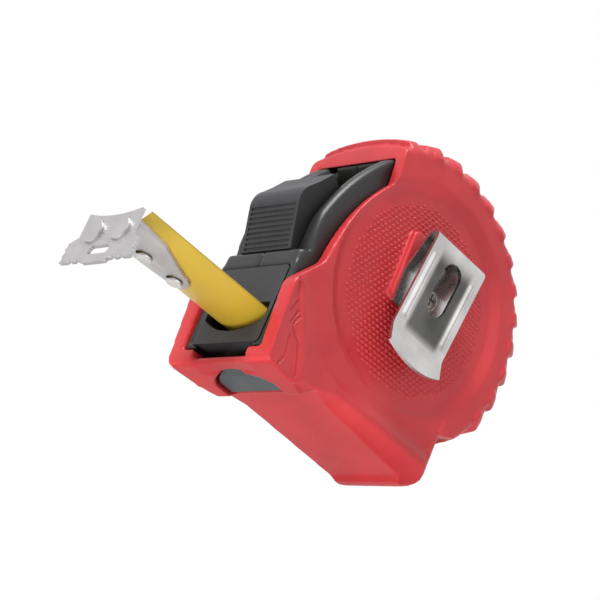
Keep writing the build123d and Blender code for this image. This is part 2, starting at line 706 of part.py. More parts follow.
# Flat run from the coil towards the mouth, above the cupped strip
lead_z = BLADE_EDGE_Z + 2 * RUN
lead_top = COIL_R + RUN
lead_drop = AXIS_H - lead_z - BLADE_T
lead_far = sqrt(LEAD_END_X ** 2 + lead_drop ** 2)
lead_lean = degrees(asin(lead_drop / lead_far)) + degrees(acos(lead_top / lead_far))
with BuildPart() as blade_lead:
    touch = polar(AXIS, lead_top, -lead_lean)
    under = polar(AXIS, lead_top + BLADE_T, -lead_lean)
    with BuildSketch(side_plane(BLADE_W / 2)):
        Polygon(touch, (LEAD_END_X, lead_z + BLADE_T), (LEAD_END_X, lead_z), under, align=None)
    extrude(amount=BLADE_W)
save(blade_lead.part, "blade_lead")

# Blade: the straight cupped strip that runs out of the mouth
with BuildPart() as blade:
    with BuildSketch(Plane.YZ.offset(BLADE_START)):
        blade_section(BLADE_T, 0, BLADE_W / 2)
    extrude(amount=BLADE_END - BLADE_START)
    with BuildSketch(Plane.XY):
        for behind in RIVETS_AT:
            with Locations((HOOK_BACK - behind, 0)):
                Circle(RIVET_R + SEAT)
    extrude(amount=AXIS_H, mode=Mode.SUBTRACT)
save(blade.part, "blade")

# End hook: plate with scalloped sides and a tab that follows the blade's belly
hook_top = BLADE_EDGE_Z
hook_low = hook_top - HOOK_H
hook_neck = hook_top - HOOK_NECK
with BuildPart() as end_hook:
    with BuildSketch(Plane.YZ.offset(HOOK_BACK)) as hook_face:
        with BuildLine():
            Polyline((HOOK_TOP_W / 2, hook_neck), (HOOK_TOP_W / 2, hook_top))
            ThreePointArc(
                (HOOK_TOP_W / 2, hook_top), (0, hook_top - CUP / 3), (-HOOK_TOP_W / 2, hook_top)
            )
            Polyline(
                (-HOOK_TOP_W / 2, hook_top),
                (-HOOK_TOP_W / 2, hook_neck),
                (-HOOK_W / 2, hook_neck - (HOOK_W - HOOK_TOP_W) / 4),
                (-HOOK_W / 2, hook_low),
                (HOOK_W / 2, hook_low),
                (HOOK_W / 2, hook_neck - (HOOK_W - HOOK_TOP_W) / 4),
                (HOOK_TOP_W / 2, hook_neck),
            )
        make_face()
        with Locations((0, hook_low)):
            SlotOverall(SLOT_L + 2 * HOOK_LOBE, 2 * HOOK_LOBE)
        for side in SIDES:
            for scallop in range(3):
                with Locations((side * (HOOK_W / 2 + TOOTH / 2), hook_low + (2 * scallop + 1) * TOOTH)):
                    Circle(TOOTH, mode=Mode.SUBTRACT)
            for bite in range(2):
                with Locations((side * (HOOK_W / 4 + bite * 3 * TOOTH), hook_low - TOOTH / 2)):
                    Circle(TOOTH, mode=Mode.SUBTRACT)
            with Locations((side * MAGNET_AT, hook_top - MAGNET_DOWN)):
                Circle(MAGNET_R + SEAT, mode=Mode.SUBTRACT)
        with Locations((0, hook_top - HOOK_SLOT_DOWN)):
            SlotOverall(SLOT_L, SLOT_H, mode=Mode.SUBTRACT)
    extrude(amount=HOOK_T)
    with BuildSketch(Plane.YZ.offset(HOOK_BACK - TAB_L)):
        blade_section(-SEAT, SEAT + TAB_T, TAB_ROOT_W / 2)
    extrude(amount=TAB_L)
    with BuildSketch(Plane.XY.offset(-FAR / 2)):
        with Locations((HOOK_BACK + HOOK_T / 2, 0)):
            Rectangle(2 * HOOK_T, FAR)
        with BuildLine():
            Polyline(
                (HOOK_BACK + HOOK_T, TAB_ROOT_W / 2),
                (HOOK_BACK - RIVETS_AT[0], TAB_ROOT_W / 2 - HOOK_T),
                (HOOK_BACK - TAB_L + TAB_TIP_W / 2, TAB_TIP_W / 2),
            )
            ThreePointArc(
                (HOOK_BACK - TAB_L + TAB_TIP_W / 2, TAB_TIP_W / 2),
                (HOOK_BACK - TAB_L, 0),
                (HOOK_BACK - TAB_L + TAB_TIP_W / 2, -TAB_TIP_W / 2),
            )
            Polyline(
                (HOOK_BACK - TAB_L + TAB_TIP_W / 2, -TAB_TIP_W / 2),
                (HOOK_BACK - RIVETS_AT[0], -TAB_ROOT_W / 2 + HOOK_T),
                (HOOK_BACK + HOOK_T, -TAB_ROOT_W / 2),
                (HOOK_BACK + HOOK_T, TAB_ROOT_W / 2),
            )
        make_face()
    extrude(amount=FAR, mode=Mode.INTERSECT)
    with BuildSketch(Plane.XY.offset(BLADE_BELLY - TAB_T * 2)):
        for behind in RIVETS_AT:
            with Locations((HOOK_BACK - behind + PLAY / 2, 0)):
                SlotOverall(2 * (RIVET_R + RUN) + PLAY, 2 * (RIVET_R + RUN))
    extrude(amount=TAB_T * 4, mode=Mode.SUBTRACT)
save(end_hook.part, "end_hook")

# Magnets pressed into the hook's plate
with BuildPart() as hook_magnets:
    with BuildSketch(Plane.YZ.offset(HOOK_BACK)):
        for side in SIDES:
            with Locations((side * MAGNET_AT, hook_top - MAGNET_DOWN)):
                Circle(MAGNET_R)
    extrude(amount=MAGNET_T)
save(hook_magnets.part, "hook_magnets")

# Rivets: a shank through blade and tab, with a head on each side
rivet_low = BLADE_BELLY - SEAT - TAB_T - RUN / 2
rivet_high = BLADE_BELLY + BLADE_T + RUN
with BuildPart() as hook_rivets:
    for behind in RIVETS_AT:
        spot = (HOOK_BACK - behind, 0)
        with BuildSketch(Plane.XY.offset(rivet_low)):
            with Locations(spot):
                Circle(RIVET_R)
        extrude(amount=rivet_high - rivet_low)
        with BuildSketch(Plane.XY.offset(rivet_low - RIVET_HEAD_T)):
            with Locations(spot):
                Circle(RIVET_HEAD_R)
        extrude(amount=RIVET_HEAD_T)
        with BuildSketch(Plane.XY.offset(rivet_high)):
            with Locations(spot):
                Circle(RIVET_HEAD_R)
        extrude(amount=RIVET_HEAD_T)
save(hook_rivets.part, "hook_rivets")

# Thumb lock: curved plate on its rails, with a ridged ramp up to the crest
lock_face = TRACK_R - LOCK_SINK
with BuildPart() as lock_slider:
    with BuildSketch(Plane.XZ):
        with BuildLine():
            Polyline(
                polar(TRACK, RAIL_R + RUN - LOCK_T, LOCK_LOW),
                polar(TRACK, lock_face, LOCK_LOW),
                polar(TRACK, TRACK_R + CREST * CREST_RAMP, CREST_AT - CREST_SPAN),
            )
            ThreePointArc(
                polar(TRACK, TRACK_R + CREST * CREST_RAMP, CREST_AT - CREST_SPAN),
                polar(TRACK, TRACK_R + CREST, CREST_AT),
                polar(TRACK, TRACK_R + CREST * CREST_FALL, CREST_AT + CREST_SPAN),
            )
            Polyline(
                polar(TRACK, TRACK_R + CREST * CREST_FALL, CREST_AT + CREST_SPAN),
                polar(TRACK, TRACK_R + LOCK_BACK_UP, LOCK_BACK),
                polar(TRACK, TRACK_R + LOCK_END_UP, LOCK_HIGH),
                polar(TRACK, RAIL_R + RUN - LOCK_T, LOCK_HIGH),
                polar(TRACK, RAIL_R + RUN - LOCK_T, LOCK_LOW),
            )
        make_face()
        with Locations(TRACK):
            Circle(RAIL_R + RUN, mode=Mode.SUBTRACT)
    extrude(amount=LOCK_HALF, both=True)
    ramp_low = polar(TRACK, lock_face, LOCK_LOW)
    ramp_high = polar(TRACK, TRACK_R + CREST * CREST_RAMP, CREST_AT - CREST_SPAN)
    for ridge in range(RIDGES):
        share = (ridge + RIDGE_FIRST) / RIDGES * RIDGED
        spot = tuple(low + share * (high - low) for low, high in zip(ramp_low, ramp_high))
        with BuildSketch(Plane.XZ):
            with Locations(spot):
                Circle(RIDGE_W / 2)
        extrude(amount=LOCK_HALF - RIDGE_EDGE, both=True, mode=Mode.SUBTRACT)
save(lock_slider.part, "lock_slider")

# Shoe: arm under the lock that reaches down to the blade and straddles the rivets
with BuildPart() as lock_shoe:
    with BuildSketch(Plane.XZ):
        Polygon(
            polar(TRACK, RAIL_R + PANEL_DEEP, SHOE_LOW),
            polar(TRACK, RAIL_R + PANEL_DEEP, SHOE_HIGH),
            polar(TRACK, TRACK_R - PANEL_DEEP, (SHOE_LOW + SHOE_HIGH) / 2),
            (SHOE_X, SEAM_Z + PANEL_DEEP),
            (SHOE_X, BLADE_BELLY),
            (SHOE_X + SHOE_L, BLADE_BELLY),
            (SHOE_X + SHOE_L, SEAM_Z + PANEL_DEEP - SHOE_L),
            align=None,
        )
        with Locations(TRACK):
            Circle(RAIL_R + RUN, mode=Mode.INTERSECT)
    extrude(amount=SHOE_HALF, both=True)
    with BuildSketch(Plane.YZ.offset(SHOE_X - SHOE_L)):
        with Locations((0, BLADE_MID)):
            Rectangle(FAR, FAR, align=(Align.CENTER, Align.MAX))
            Circle(BLADE_R - BLADE_T - 2 * RUN, mode=Mode.SUBTRACT)
        with Locations((0, rivet_high + RIVET_HEAD_T + RUN)):
            Rectangle(2 * (RIVET_HEAD_R + RUN), FAR, align=(Align.CENTER, Align.MAX))
    extrude(amount=3 * SHOE_L, mode=Mode.SUBTRACT)
save(lock_shoe.part, "lock_shoe")

# Finger brake: a round-fronted button on a pin, with two pads beside the hook's tab
with BuildPart() as brake_button:
    with BuildSketch(Plane.XZ):
        Polygon(
            (BRAKE_REAR, BRAKE_TOP),
            (BRAKE_REAR, BRAKE_Z + BRAKE_ROLL),
            (BRAKE_REAR + BRAKE_ROLL, BRAKE_Z),
            (BRAKE_X - 2 * BRAKE_ROLL, BRAKE_Z),
            (BRAKE_X, BRAKE_Z + BRAKE_ROLL),
            (BRAKE_X, BRAKE_TOP),
            align=None,
        )
        with Locations((BRAKE_PIN_X, BRAKE_PIN_Z)):
            Circle(BRAKE_EAR_R)
        with Locations((BRAKE_PIN_X, BRAKE_Z + BRAKE_ROLL)):
            Rectangle(2 * BRAKE_EAR_R, BRAKE_PIN_Z - BRAKE_Z - BRAKE_ROLL, align=(Align.CENTER, Align.MIN))
    extrude(amount=BRAKE_HALF, both=True)
    with BuildSketch(Plane.XY):
        brake_plan(0)
    extrude(amount=AXIS_H, mode=Mode.INTERSECT)
    for side in SIDES:
        with BuildSketch(Plane.XY.offset(BRAKE_TOP - BRAKE_ROLL)):
            with Locations((BRAKE_PIN_X + BRAKE_EAR_R + BRAKE_PAD_L, side * BRAKE_PAD_Y)):
                RectangleRounded(BRAKE_PAD_L, BRAKE_PAD_W, BRAKE_PAD_L / 4)
        extrude(amount=BRAKE_PAD_Z - BRAKE_TOP + BRAKE_ROLL)
    with BuildSketch(Plane.XZ):
        with Locations((BRAKE_PIN_X, BRAKE_PIN_Z)):
            Circle(BRAKE_PIN_R + PIN_FIT)
    extrude(amount=BRAKE_HALF, both=True, mode=Mode.SUBTRACT)
save(brake_button.part, "brake_button")

with BuildPart() as brake_pin:
    with BuildSketch(Plane.XZ):
        with Locations((BRAKE_PIN_X, BRAKE_PIN_Z)):
            Circle(BRAKE_PIN_R)
    extrude(amount=CASE_HALF - SEAT, both=True)
save(brake_pin.part, "brake_pin")

# Return leaf: lies on the case floor and reaches over the brake's ear
leaf_low = FLOOR_Z + CASE_T
leaf_high = BRAKE_PIN_Z + BRAKE_EAR_R + RUN
with BuildPart() as brake_spring:
    with BuildSketch(side_plane(BRAKE_PAD_Y - LEAF_W / 2)):
        Polygon(
            (LEAF_REAR, leaf_low),
            (LEAF_REAR + LEAF_FLAT, leaf_low),
            (BRAKE_PIN_X - BRAKE_EAR_R, leaf_high),
            (BRAKE_PIN_X + BRAKE_EAR_R / 2, leaf_high),
            (BRAKE_PIN_X + BRAKE_EAR_R / 2, leaf_high + LEAF_T),
            (BRAKE_PIN_X - BRAKE_EAR_R, leaf_high + LEAF_T),
            (LEAF_REAR + LEAF_FLAT, leaf_low + LEAF_T),
            (LEAF_REAR, leaf_low + LEAF_T),
            align=None,
        )
    extrude(amount=-LEAF_W)
save(brake_spring.part, "brake_spring")

# Belt clip: one bent strip, with ribs and a keyhole over the screw
clip_mid = CLIP_Y + CLIP_T / 2
clip_fold = (clip_mid + CLIP_FAR, AXIS_H + CLIP_TOP)
clip_bend = (clip_mid + CLIP_NEAR, AXIS_H - CLIP_LOW)
clip_end = (clip_bend[0] + CLIP_FLARE, clip_bend[1] - CLIP_FLARE_L)
leaf_l = sqrt((clip_fold[0] - clip_bend[0]) ** 2 + (clip_fold[1] - clip_bend[1]) ** 2)
leaf_out = ((clip_fold[1] - clip_bend[1]) / leaf_l, (clip_bend[0] - clip_fold[0]) / leaf_l)
rib_middle = (
    (clip_fold[0] + clip_bend[0]) / 2 + leaf_out[0] * CLIP_T / 2,
    (clip_fold[1] + clip_bend[1]) / 2 + leaf_out[1] * CLIP_T / 2,
)
rib_plane = Plane(
    origin=(0, rib_middle[0], rib_middle[1]), x_dir=(1, 0, 0), z_dir=(0, leaf_out[0], leaf_out[1])
)
with BuildPart() as belt_clip:
    with BuildSketch(Plane.YZ.offset(-CLIP_W / 2)):
        with BuildLine():
            FilletPolyline(
                (clip_mid, AXIS_H - CLIP_FOOT),
                (clip_mid, AXIS_H + CLIP_KNEE),
                clip_fold,
                clip_bend,
                clip_end,
                radius=CLIP_BEND_R,
            )
        trace(line_width=CLIP_T)
    extrude(amount=CLIP_W)
    with BuildSketch(rib_plane):
        with Locations((-RIB_AT, -RIB_DOWN), (RIB_AT, -RIB_DOWN)):
            SlotOverall(RIB_L, RIB_W, rotation=90)
    extrude(amount=RIB_UP)
    with BuildSketch(side_plane(CLIP_Y + CLIP_NEAR + CLIP_T / 2)):
        with Locations((0, AXIS_H + KEYHOLE_UP)):
            SlotOverall(KEYHOLE_H, KEYHOLE_W, rotation=90)
    extrude(amount=-FAR, mode=Mode.SUBTRACT)
    with BuildSketch(Plane.XZ.offset(-FAR)):
        with Locations((0, clip_end[1] + CLIP_W)):
            Circle(CLIP_W)
        with Locations((0, clip_bend[1])):
            Rectangle(2 * CLIP_W, FAR, align=(Align.CENTER, Align.MIN))
    extrude(amount=FAR, mode=Mode.INTERSECT)
    with BuildSketch(side_plane(CLIP_Y)):
        with Locations(AXIS):
            Circle(CLIP_SCREW_R + SEAT)
    extrude(amount=-CLIP_T, mode=Mode.SUBTRACT)
save(belt_clip.part, "belt_clip")

# Clip screw: pan head with a cross, shank into the centre post
with BuildPart() as clip_screw:
    with BuildSketch(side_plane(CLIP_Y + CLIP_T)):
        with Locations(AXIS):
            Circle(CLIP_HEAD_R)
    extrude(amount=-CLIP_HEAD_T)
    fillet(clip_screw.edges().group_by(Axis.Y)[-1], CLIP_HEAD_T / 2)
    with BuildSketch(side_plane(CLIP_Y + CLIP_T)):
        with Locations(AXIS):
            Circle(CLIP_SCREW_R)
    extrude(amount=CLIP_SCREW_L)
    with BuildSketch(side_plane(CLIP_Y + CLIP_T + CLIP_HEAD_T / 2)):
        with Locations(AXIS):
            Rectangle(CROSS_L, CROSS_W)
            Rectangle(CROSS_W, CROSS_L)
    extrude(amount=-CLIP_HEAD_T, mode=Mode.SUBTRACT)
save(clip_screw.part, "clip_screw")
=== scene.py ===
# %% [markdown]
# A pocket tape measure: a red rubber jacket over a black case, a thumb lock on the curved front, a grey
# finger brake under the mouth, a yellow blade with a magnetic hook, and a steel belt clip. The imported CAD
# part gives every size and every joint. This lesson dresses it: camera and light first, then one piece
# and one finish after the other, each in the frame of the CAD part. Sizes of the tool are written in
# millimetres, and MM turns them into Blender's metres.

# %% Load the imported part
import math

import bmesh
import bpy
import numpy as np
from mathutils import Matrix, Vector
from mathutils.bvhtree import BVHTree


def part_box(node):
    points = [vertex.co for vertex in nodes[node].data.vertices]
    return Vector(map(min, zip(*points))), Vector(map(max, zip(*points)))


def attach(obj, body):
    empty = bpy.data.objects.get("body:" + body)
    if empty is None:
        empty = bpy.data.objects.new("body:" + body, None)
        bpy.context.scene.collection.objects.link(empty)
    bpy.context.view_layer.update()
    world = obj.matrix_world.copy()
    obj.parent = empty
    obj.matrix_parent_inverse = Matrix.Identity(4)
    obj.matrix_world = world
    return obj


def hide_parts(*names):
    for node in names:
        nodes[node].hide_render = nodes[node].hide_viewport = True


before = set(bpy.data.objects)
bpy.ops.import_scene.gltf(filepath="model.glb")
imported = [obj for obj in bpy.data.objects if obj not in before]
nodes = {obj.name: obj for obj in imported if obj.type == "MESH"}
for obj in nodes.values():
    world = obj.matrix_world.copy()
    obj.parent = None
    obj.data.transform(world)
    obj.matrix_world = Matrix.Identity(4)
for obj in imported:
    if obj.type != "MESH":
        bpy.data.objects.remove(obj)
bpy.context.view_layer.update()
scene = bpy.context.scene
scene.view_settings.view_transform = "Standard"
MM = 0.001

# %% [markdown]
# The photograph looks up at the tool from its clip side, so the camera stands below the resting plane.
# A camera could be aimed with a Track To constraint, but the picture is also tilted, so the three axes
# of the camera are written into its matrix: to the right, up, and back towards the photographer.

# %% Camera
LOOK_BACK = Vector((0.5580952, 0.7237136, -0.4059167)).normalized()
CAMERA_UP = Vector((0.5400804, 0.0545656, 0.8398427))
CAMERA_AT = Vector((280.303, 337.052, -162.936)) * MM
SENSOR_WIDE = 36
LENS_LONG = 120
NEAREST_SEEN = 0.01


def put_in_scene(name, data):
    """A new object with this data, linked to the scene."""
    thing = bpy.data.objects.new(name, data)
    scene.collection.objects.link(thing)
    return thing


camera_data = bpy.data.cameras.new("photo_camera")
camera_data.sensor_width = SENSOR_WIDE
camera_data.lens = LENS_LONG
camera_data.clip_start = NEAREST_SEEN
camera = put_in_scene("photo_camera", camera_data)
to_right = CAMERA_UP.cross(LOOK_BACK).normalized()
stand = Matrix((to_right, LOOK_BACK.cross(to_right), LOOK_BACK)).transposed().to_4x4()
stand.translation = CAMERA_AT
camera.matrix_world = stand
scene.camera = camera
print("camera", round(CAMERA_AT.length, 3), "m from the foot of the tool")

# %% [markdown]
# Finishes and light are trees of shader nodes. These small helpers add a node with constants on its own
# sockets, move a value from one range to another, and tell the rays of light apart. Trees could be built
# by hand in the editor, but a script that builds them gives the same tree on each run.

# %% Helpers for shader trees
RANGE_SOCKETS = ("From Min", "From Max", "To Min", "To Max")


def add_node(tree, kind, sockets=None, operation=None):
    """A new shader node, with its operation and the constants on its sockets."""
    node = tree.nodes.new(kind)
    if operation:
        node.operation = operation
    for socket, value in (sockets or {}).items():
        node.inputs[socket].default_value = value
    return node


def spread_range(tree, source, old_range, new_range):
    """The source, moved from an old range to a new one."""
    spread = add_node(tree, "ShaderNodeMapRange", dict(zip(RANGE_SOCKETS, (*old_range, *new_range))))
    tree.links.new(source, spread.inputs["Value"])
    return spread.outputs["Result"]


def seen_rays(tree, path):
    """1 for rays that end in the picture, in a gloss or in glass, and 0 for all others."""
    either = add_node(tree, "ShaderNodeMath", operation="MAXIMUM")
    any_seen = add_node(tree, "ShaderNodeMath", operation="MAXIMUM")
    tree.links.new(path.outputs["Is Camera Ray"], either.inputs[0])
    tree.links.new(path.outputs["Is Glossy Ray"], either.inputs[1])
    tree.links.new(either.outputs[0], any_seen.inputs[0])
    tree.links.new(path.outputs["Is Transmission Ray"], any_seen.inputs[1])
    return any_seen.outputs[0]


print("a range has", len(RANGE_SOCKETS), "constants")

# %% [markdown]
# The tool was photographed in a white light tent. A world of one colour gives that soft fill. Light Path
# tells the rays apart: those that end in the picture, in a gloss or in glass see plain white, and the
# diffuse ones see less, so the fill leaves room for the lamps to shape the forms.

# %% White tent
FILL = 0.32
WHITE = (1.0, 1.0, 1.0, 1.0)
tent = bpy.data.worlds.new("white_tent")
scene.world = tent
tent.use_nodes = True
tent_tree = tent.node_tree
sky = tent_tree.nodes["Background"]
sky.inputs["Color"].default_value = WHITE
tent_rays = seen_rays(tent_tree, add_node(tent_tree, "ShaderNodeLightPath"))
tent_tree.links.new(spread_range(tent_tree, tent_rays, (0, 1), (FILL, 1)), sky.inputs["Strength"])
print("tent fill", FILL)

# %% [markdown]
# The floor is a pale sheet under the tool, and it keeps the tool's shadow. The camera of the photograph is
# below it, so the sheet is one-sided: Geometry tells its front from its back, and seen from below it is
# clear. Shadow rays find it clear too, so the low lamp shines through it.

# %% Finish of the floor
SHEET_GREY = (0.86, 0.86, 0.86, 1.0)
SHEET_GLOW = 0.6


def floor_finish():
    """Pale sheet: near white to the eye and to gloss, clear from below and to shadow rays."""
    sheet = bpy.data.materials.new("pale_sheet")
    sheet.use_nodes = True
    tree = sheet.node_tree
    tree.nodes.clear()
    path = add_node(tree, "ShaderNodeLightPath")
    side = add_node(tree, "ShaderNodeNewGeometry")
    matte = add_node(tree, "ShaderNodeBsdfDiffuse", {"Color": SHEET_GREY})
    glow = add_node(tree, "ShaderNodeEmission", {"Strength": 1.0})
    clear = add_node(tree, "ShaderNodeBsdfTransparent")
    let_by = add_node(tree, "ShaderNodeMath", operation="MAXIMUM")
    pale = add_node(tree, "ShaderNodeMixShader")
    one_sided = add_node(tree, "ShaderNodeMixShader")
    out = add_node(tree, "ShaderNodeOutputMaterial")
    link = tree.links.new
    link(spread_range(tree, seen_rays(tree, path), (0, 1), (0, SHEET_GLOW)), pale.inputs[0])
    link(matte.outputs[0], pale.inputs[1])
    link(glow.outputs[0], pale.inputs[2])
    link(path.outputs["Is Shadow Ray"], let_by.inputs[0])
    link(side.outputs["Backfacing"], let_by.inputs[1])
    link(let_by.outputs[0], one_sided.inputs[0])
    link(pale.outputs[0], one_sided.inputs[1])
    link(clear.outputs[0], one_sided.inputs[2])
    link(one_sided.outputs[0], out.inputs["Surface"])
    return sheet


print("sheet glow", SHEET_GLOW)

# %% [markdown]
# The sheet is one square face, a hair below the resting plane, so that it never lies in the same place as
# the foot of the tool. An operator could add a plane, but four corners in a list need no context.

# %% Floor
FLOOR_HALF = 0.8
FLOOR_GAP = 0.0002
CORNERS = ((-1, -1), (1, -1), (1, 1), (-1, 1))
floor_mesh = bpy.data.meshes.new("floor")
floor_mesh.from_pydata([(x * FLOOR_HALF, y * FLOOR_HALF, 0) for x, y in CORNERS], [], [(0, 1, 2, 3)])
floor_mesh.materials.append(floor_finish())
floor = put_in_scene("floor", floor_mesh)
floor.location.z = -FLOOR_GAP
print("floor", 2 * FLOOR_HALF, "m square")

# %% [markdown]
# Three large soft lamps: the key in front of and above the nose of the tool, a lower one that comes up
# under the base, and a weak one on the clip's side. Area lamps of this size give the long soft streaks on
# the beads and the clip that the photograph shows. Small lamps would give hard spots instead.

# %% Lamps
AIM = Vector((12, 0, 36)) * MM
LAMPS = {
    # name: place in metres, width in metres, watts
    "key_above": ((0.36, 0.12, 0.56), 0.30, 4.2),
    "low_base": ((0.26, 0.04, -0.48), 0.34, 2.0),
    "side_fill": ((0.10, 0.62, 0.20), 0.40, 0.3),
}
for lamp_name, (place, wide, watts) in LAMPS.items():
    softbox = bpy.data.lights.new(lamp_name, "AREA")
    softbox.energy = watts
    softbox.size = wide
    lamp = put_in_scene(lamp_name, softbox)
    lamp.location = place
    lamp.rotation_euler = (Vector(place) - AIM).to_track_quat("Z", "Y").to_euler()
    print(lamp_name, watts, "W")

# %% [markdown]
# Every finish has the same two noises: a broad one that drifts the colour, and a fine one that is the
# grain of the mould or the metal. Photographs of surfaces could carry both, but a noise has no seams and
# needs no file. It reads the piece's own coordinates, so it rides along when a joint moves.

# %% Noise and ramp
RAMP_ENDS = (0.35, 0.65)


def grain_noise(tree, size_mm, detail=3.0):
    """Noise with features of a given size on the piece itself."""
    coords = add_node(tree, "ShaderNodeTexCoord")
    noise = add_node(tree, "ShaderNodeTexNoise", {"Scale": 1.0 / (size_mm * MM), "Detail": detail})
    tree.links.new(coords.outputs["Object"], noise.inputs["Vector"])
    return noise.outputs[0]


def ramp_between(tree, source, low, high):
    """Colour that goes from low to high over the middle of the source's range."""
    ramp = add_node(tree, "ShaderNodeValToRGB")
    for end, position, colour in zip(ramp.color_ramp.elements, RAMP_ENDS, (low, high)):
        end.position = position
        end.color = (*colour, 1.0)
    tree.links.new(source, ramp.inputs["Fac"])
    return ramp.outputs["Color"]


print("colours drift over noise from", *RAMP_ENDS)

# %% [markdown]
# On the black mouldings, the faces that look to the left and right get painted shade: the shader brings their
# colour down, so that they look darker than the faces in front. Two materials could be given face by face,
# but the meshes of the CAD nodes stay as they are, so the shader itself asks which way a face looks.

# %% Painted shade on the sides
SIDE_TURN = (0.55, 0.95)


def scaled_colour(tree, colour, factor):
    """A colour, multiplied by a factor."""
    times = add_node(tree, "ShaderNodeVectorMath", operation="SCALE")
    tree.links.new(colour, times.inputs[0])
    tree.links.new(factor, times.inputs["Scale"])
    return times.outputs[0]


def darker_sides(tree, colour, share):
    """Painted shade: the colour, brought down to a share of itself on faces that look to the tool's left or
    right.
    """
    facing = add_node(tree, "ShaderNodeNewGeometry")
    parts = add_node(tree, "ShaderNodeSeparateXYZ")
    sideways = add_node(tree, "ShaderNodeMath", operation="ABSOLUTE")
    tree.links.new(facing.outputs["Normal"], parts.inputs[0])
    tree.links.new(parts.outputs["Y"], sideways.inputs[0])
    return scaled_colour(tree, colour, spread_range(tree, sideways.outputs[0], SIDE_TURN, (1.0, share)))


print("sides darken between", *SIDE_TURN)

# %% [markdown]
# One helper makes a whole finish: the ramp gives the colour, and the grain gives roughness and bump. Values
# that are the same all over sit on the shader's own sockets. With a helper, each finish needs only its
# colours and its sizes in millimetres.

# %% A helper for finishes
GRAIN_ENDS = (0.3, 0.7)
GRAIN_PER_DEPTH = 3


def make_finish(name, colours, patch, grain, rough, bump, metal=0.0, specular=0.5, sides=1.0):
    """A finish: two colours that drift in patches, and a grain that sets roughness and bump."""
    made = bpy.data.materials.new(name)
    made.use_nodes = True
    tree = made.node_tree
    shader = tree.nodes["Principled BSDF"]
    shader.inputs["Metallic"].default_value = metal
    shader.inputs["Specular IOR Level"].default_value = specular
    colour = ramp_between(tree, grain_noise(tree, patch), *colours)
    # Faces that look to the left or right get painted shade, down to the share given as sides.
    if sides < 1.0:
        colour = darker_sides(tree, colour, sides)
    tree.links.new(colour, shader.inputs["Base Color"])
    fine = grain_noise(tree, grain)
    tree.links.new(spread_range(tree, fine, GRAIN_ENDS, rough), shader.inputs["Roughness"])
    relief = add_node(tree, "ShaderNodeBump", {"Strength": bump, "Distance": grain * MM / GRAIN_PER_DEPTH})
    tree.links.new(fine, relief.inputs["Height"])
    tree.links.new(relief.outputs["Normal"], shader.inputs["Normal"])
    return made


print("grain is", GRAIN_PER_DEPTH, "times as wide as deep")

# %% [markdown]
# The jacket is a soft thermoplastic rubber, satin with a little sheen. The lock and the mouth plate are black
# plastic from a fine eroded mould, and the case between them is smoother. The brake is the same plastic in
# grey, the reel natural white, and the blade is steel under a yellow lacquer.

# %% Rubber, plastics and lacquer
SOFT_FINISHES = {
    # name: two colours, size of the patches, size of the grain, roughness, bump
    "red_rubber": (((0.53, 0.024, 0.032), (0.61, 0.034, 0.042)), 14, 0.35, (0.32, 0.42), 0.05),
    "black_plastic": (((0.028, 0.028, 0.032), (0.037, 0.037, 0.042)), 9, 0.25, (0.44, 0.56), 0.10),
    "black_gloss": (((0.013, 0.014, 0.014), (0.019, 0.020, 0.020)), 9, 0.30, (0.34, 0.44), 0.04),
    "grey_plastic": (((0.085, 0.098, 0.102), (0.110, 0.124, 0.128)), 7, 0.25, (0.42, 0.54), 0.10),
    "yellow_lacquer": (((0.49, 0.335, 0.026), (0.55, 0.375, 0.034)), 12, 0.30, (0.30, 0.40), 0.04),
    "reel_plastic": (((0.50, 0.50, 0.47), (0.58, 0.58, 0.54)), 8, 0.30, (0.45, 0.60), 0.06),
}
# sides: the share of colour left on faces that look to the left or right, as painted shade.
MORE = {"black_plastic": {"specular": 0.4, "sides": 0.25}, "black_gloss": {"sides": 0.45}}
finish = {}
for finish_name, recipe in SOFT_FINISHES.items():
    finish[finish_name] = make_finish(finish_name, *recipe, **MORE.get(finish_name, {}))
print("soft finishes", list(finish))

# %% [markdown]
# The hook and its magnets are dull zinc, the rivets bright nickel, the screws plated steel, and the springs
# blued strip. On a metal the colour is that of its reflections, so Metallic is 1 and roughness does most of
# the work: low for the rivets, high for the zinc.

# %% Metals
METALS = {
    "dull_zinc": (((0.50, 0.485, 0.49), (0.56, 0.545, 0.55)), 5, 0.12, (0.38, 0.50), 0.08),
    "bright_nickel": (((0.56, 0.55, 0.54), (0.68, 0.67, 0.66)), 2, 0.10, (0.12, 0.22), 0.03),
    "screw_steel": (((0.36, 0.33, 0.30), (0.48, 0.45, 0.42)), 2, 0.10, (0.26, 0.40), 0.06),
    "spring_steel": (((0.20, 0.22, 0.26), (0.28, 0.30, 0.34)), 4, 0.15, (0.25, 0.40), 0.06),
}
for finish_name, recipe in METALS.items():
    finish[finish_name] = make_finish(finish_name, *recipe, metal=1.0)
print("metals", list(METALS))

# %% [markdown]
# Each CAD node gets the finish of the real piece, also the ones that a smoother piece stands for later. A
# table says which node wears what, so that a change of finish is a change of one line.

# %% Dressing the nodes
WEARS = {
    "red_rubber": ["jacket"],
    "black_gloss": ["case_left", "case_right"],
    "black_plastic": ["mouth_guide", "lock_slider", "lock_shoe"],
    "grey_plastic": ["brake_button"],
    "yellow_lacquer": ["blade", "blade_lead", "blade_coil"],
    "dull_zinc": ["end_hook", "hook_magnets"],
    "bright_nickel": ["hook_rivets"],
    "screw_steel": ["clip_screw", "case_screws", "brake_pin", "axle_post"],
    "spring_steel": ["power_spring", "brake_spring"],
    "reel_plastic": ["reel_drum", "reel_flange"],
}


def dress(mesh, worn_finish):
    """Gives a mesh one finish in place of any that it had."""
    mesh.materials.clear()
    mesh.materials.append(worn_finish)


for finish_name, node_names in WEARS.items():
    for node_name in node_names:
        dress(nodes[node_name].data, finish[finish_name])
print("dressed", sum(len(node_names) for node_names in WEARS.values()), "of", len(nodes), "nodes")

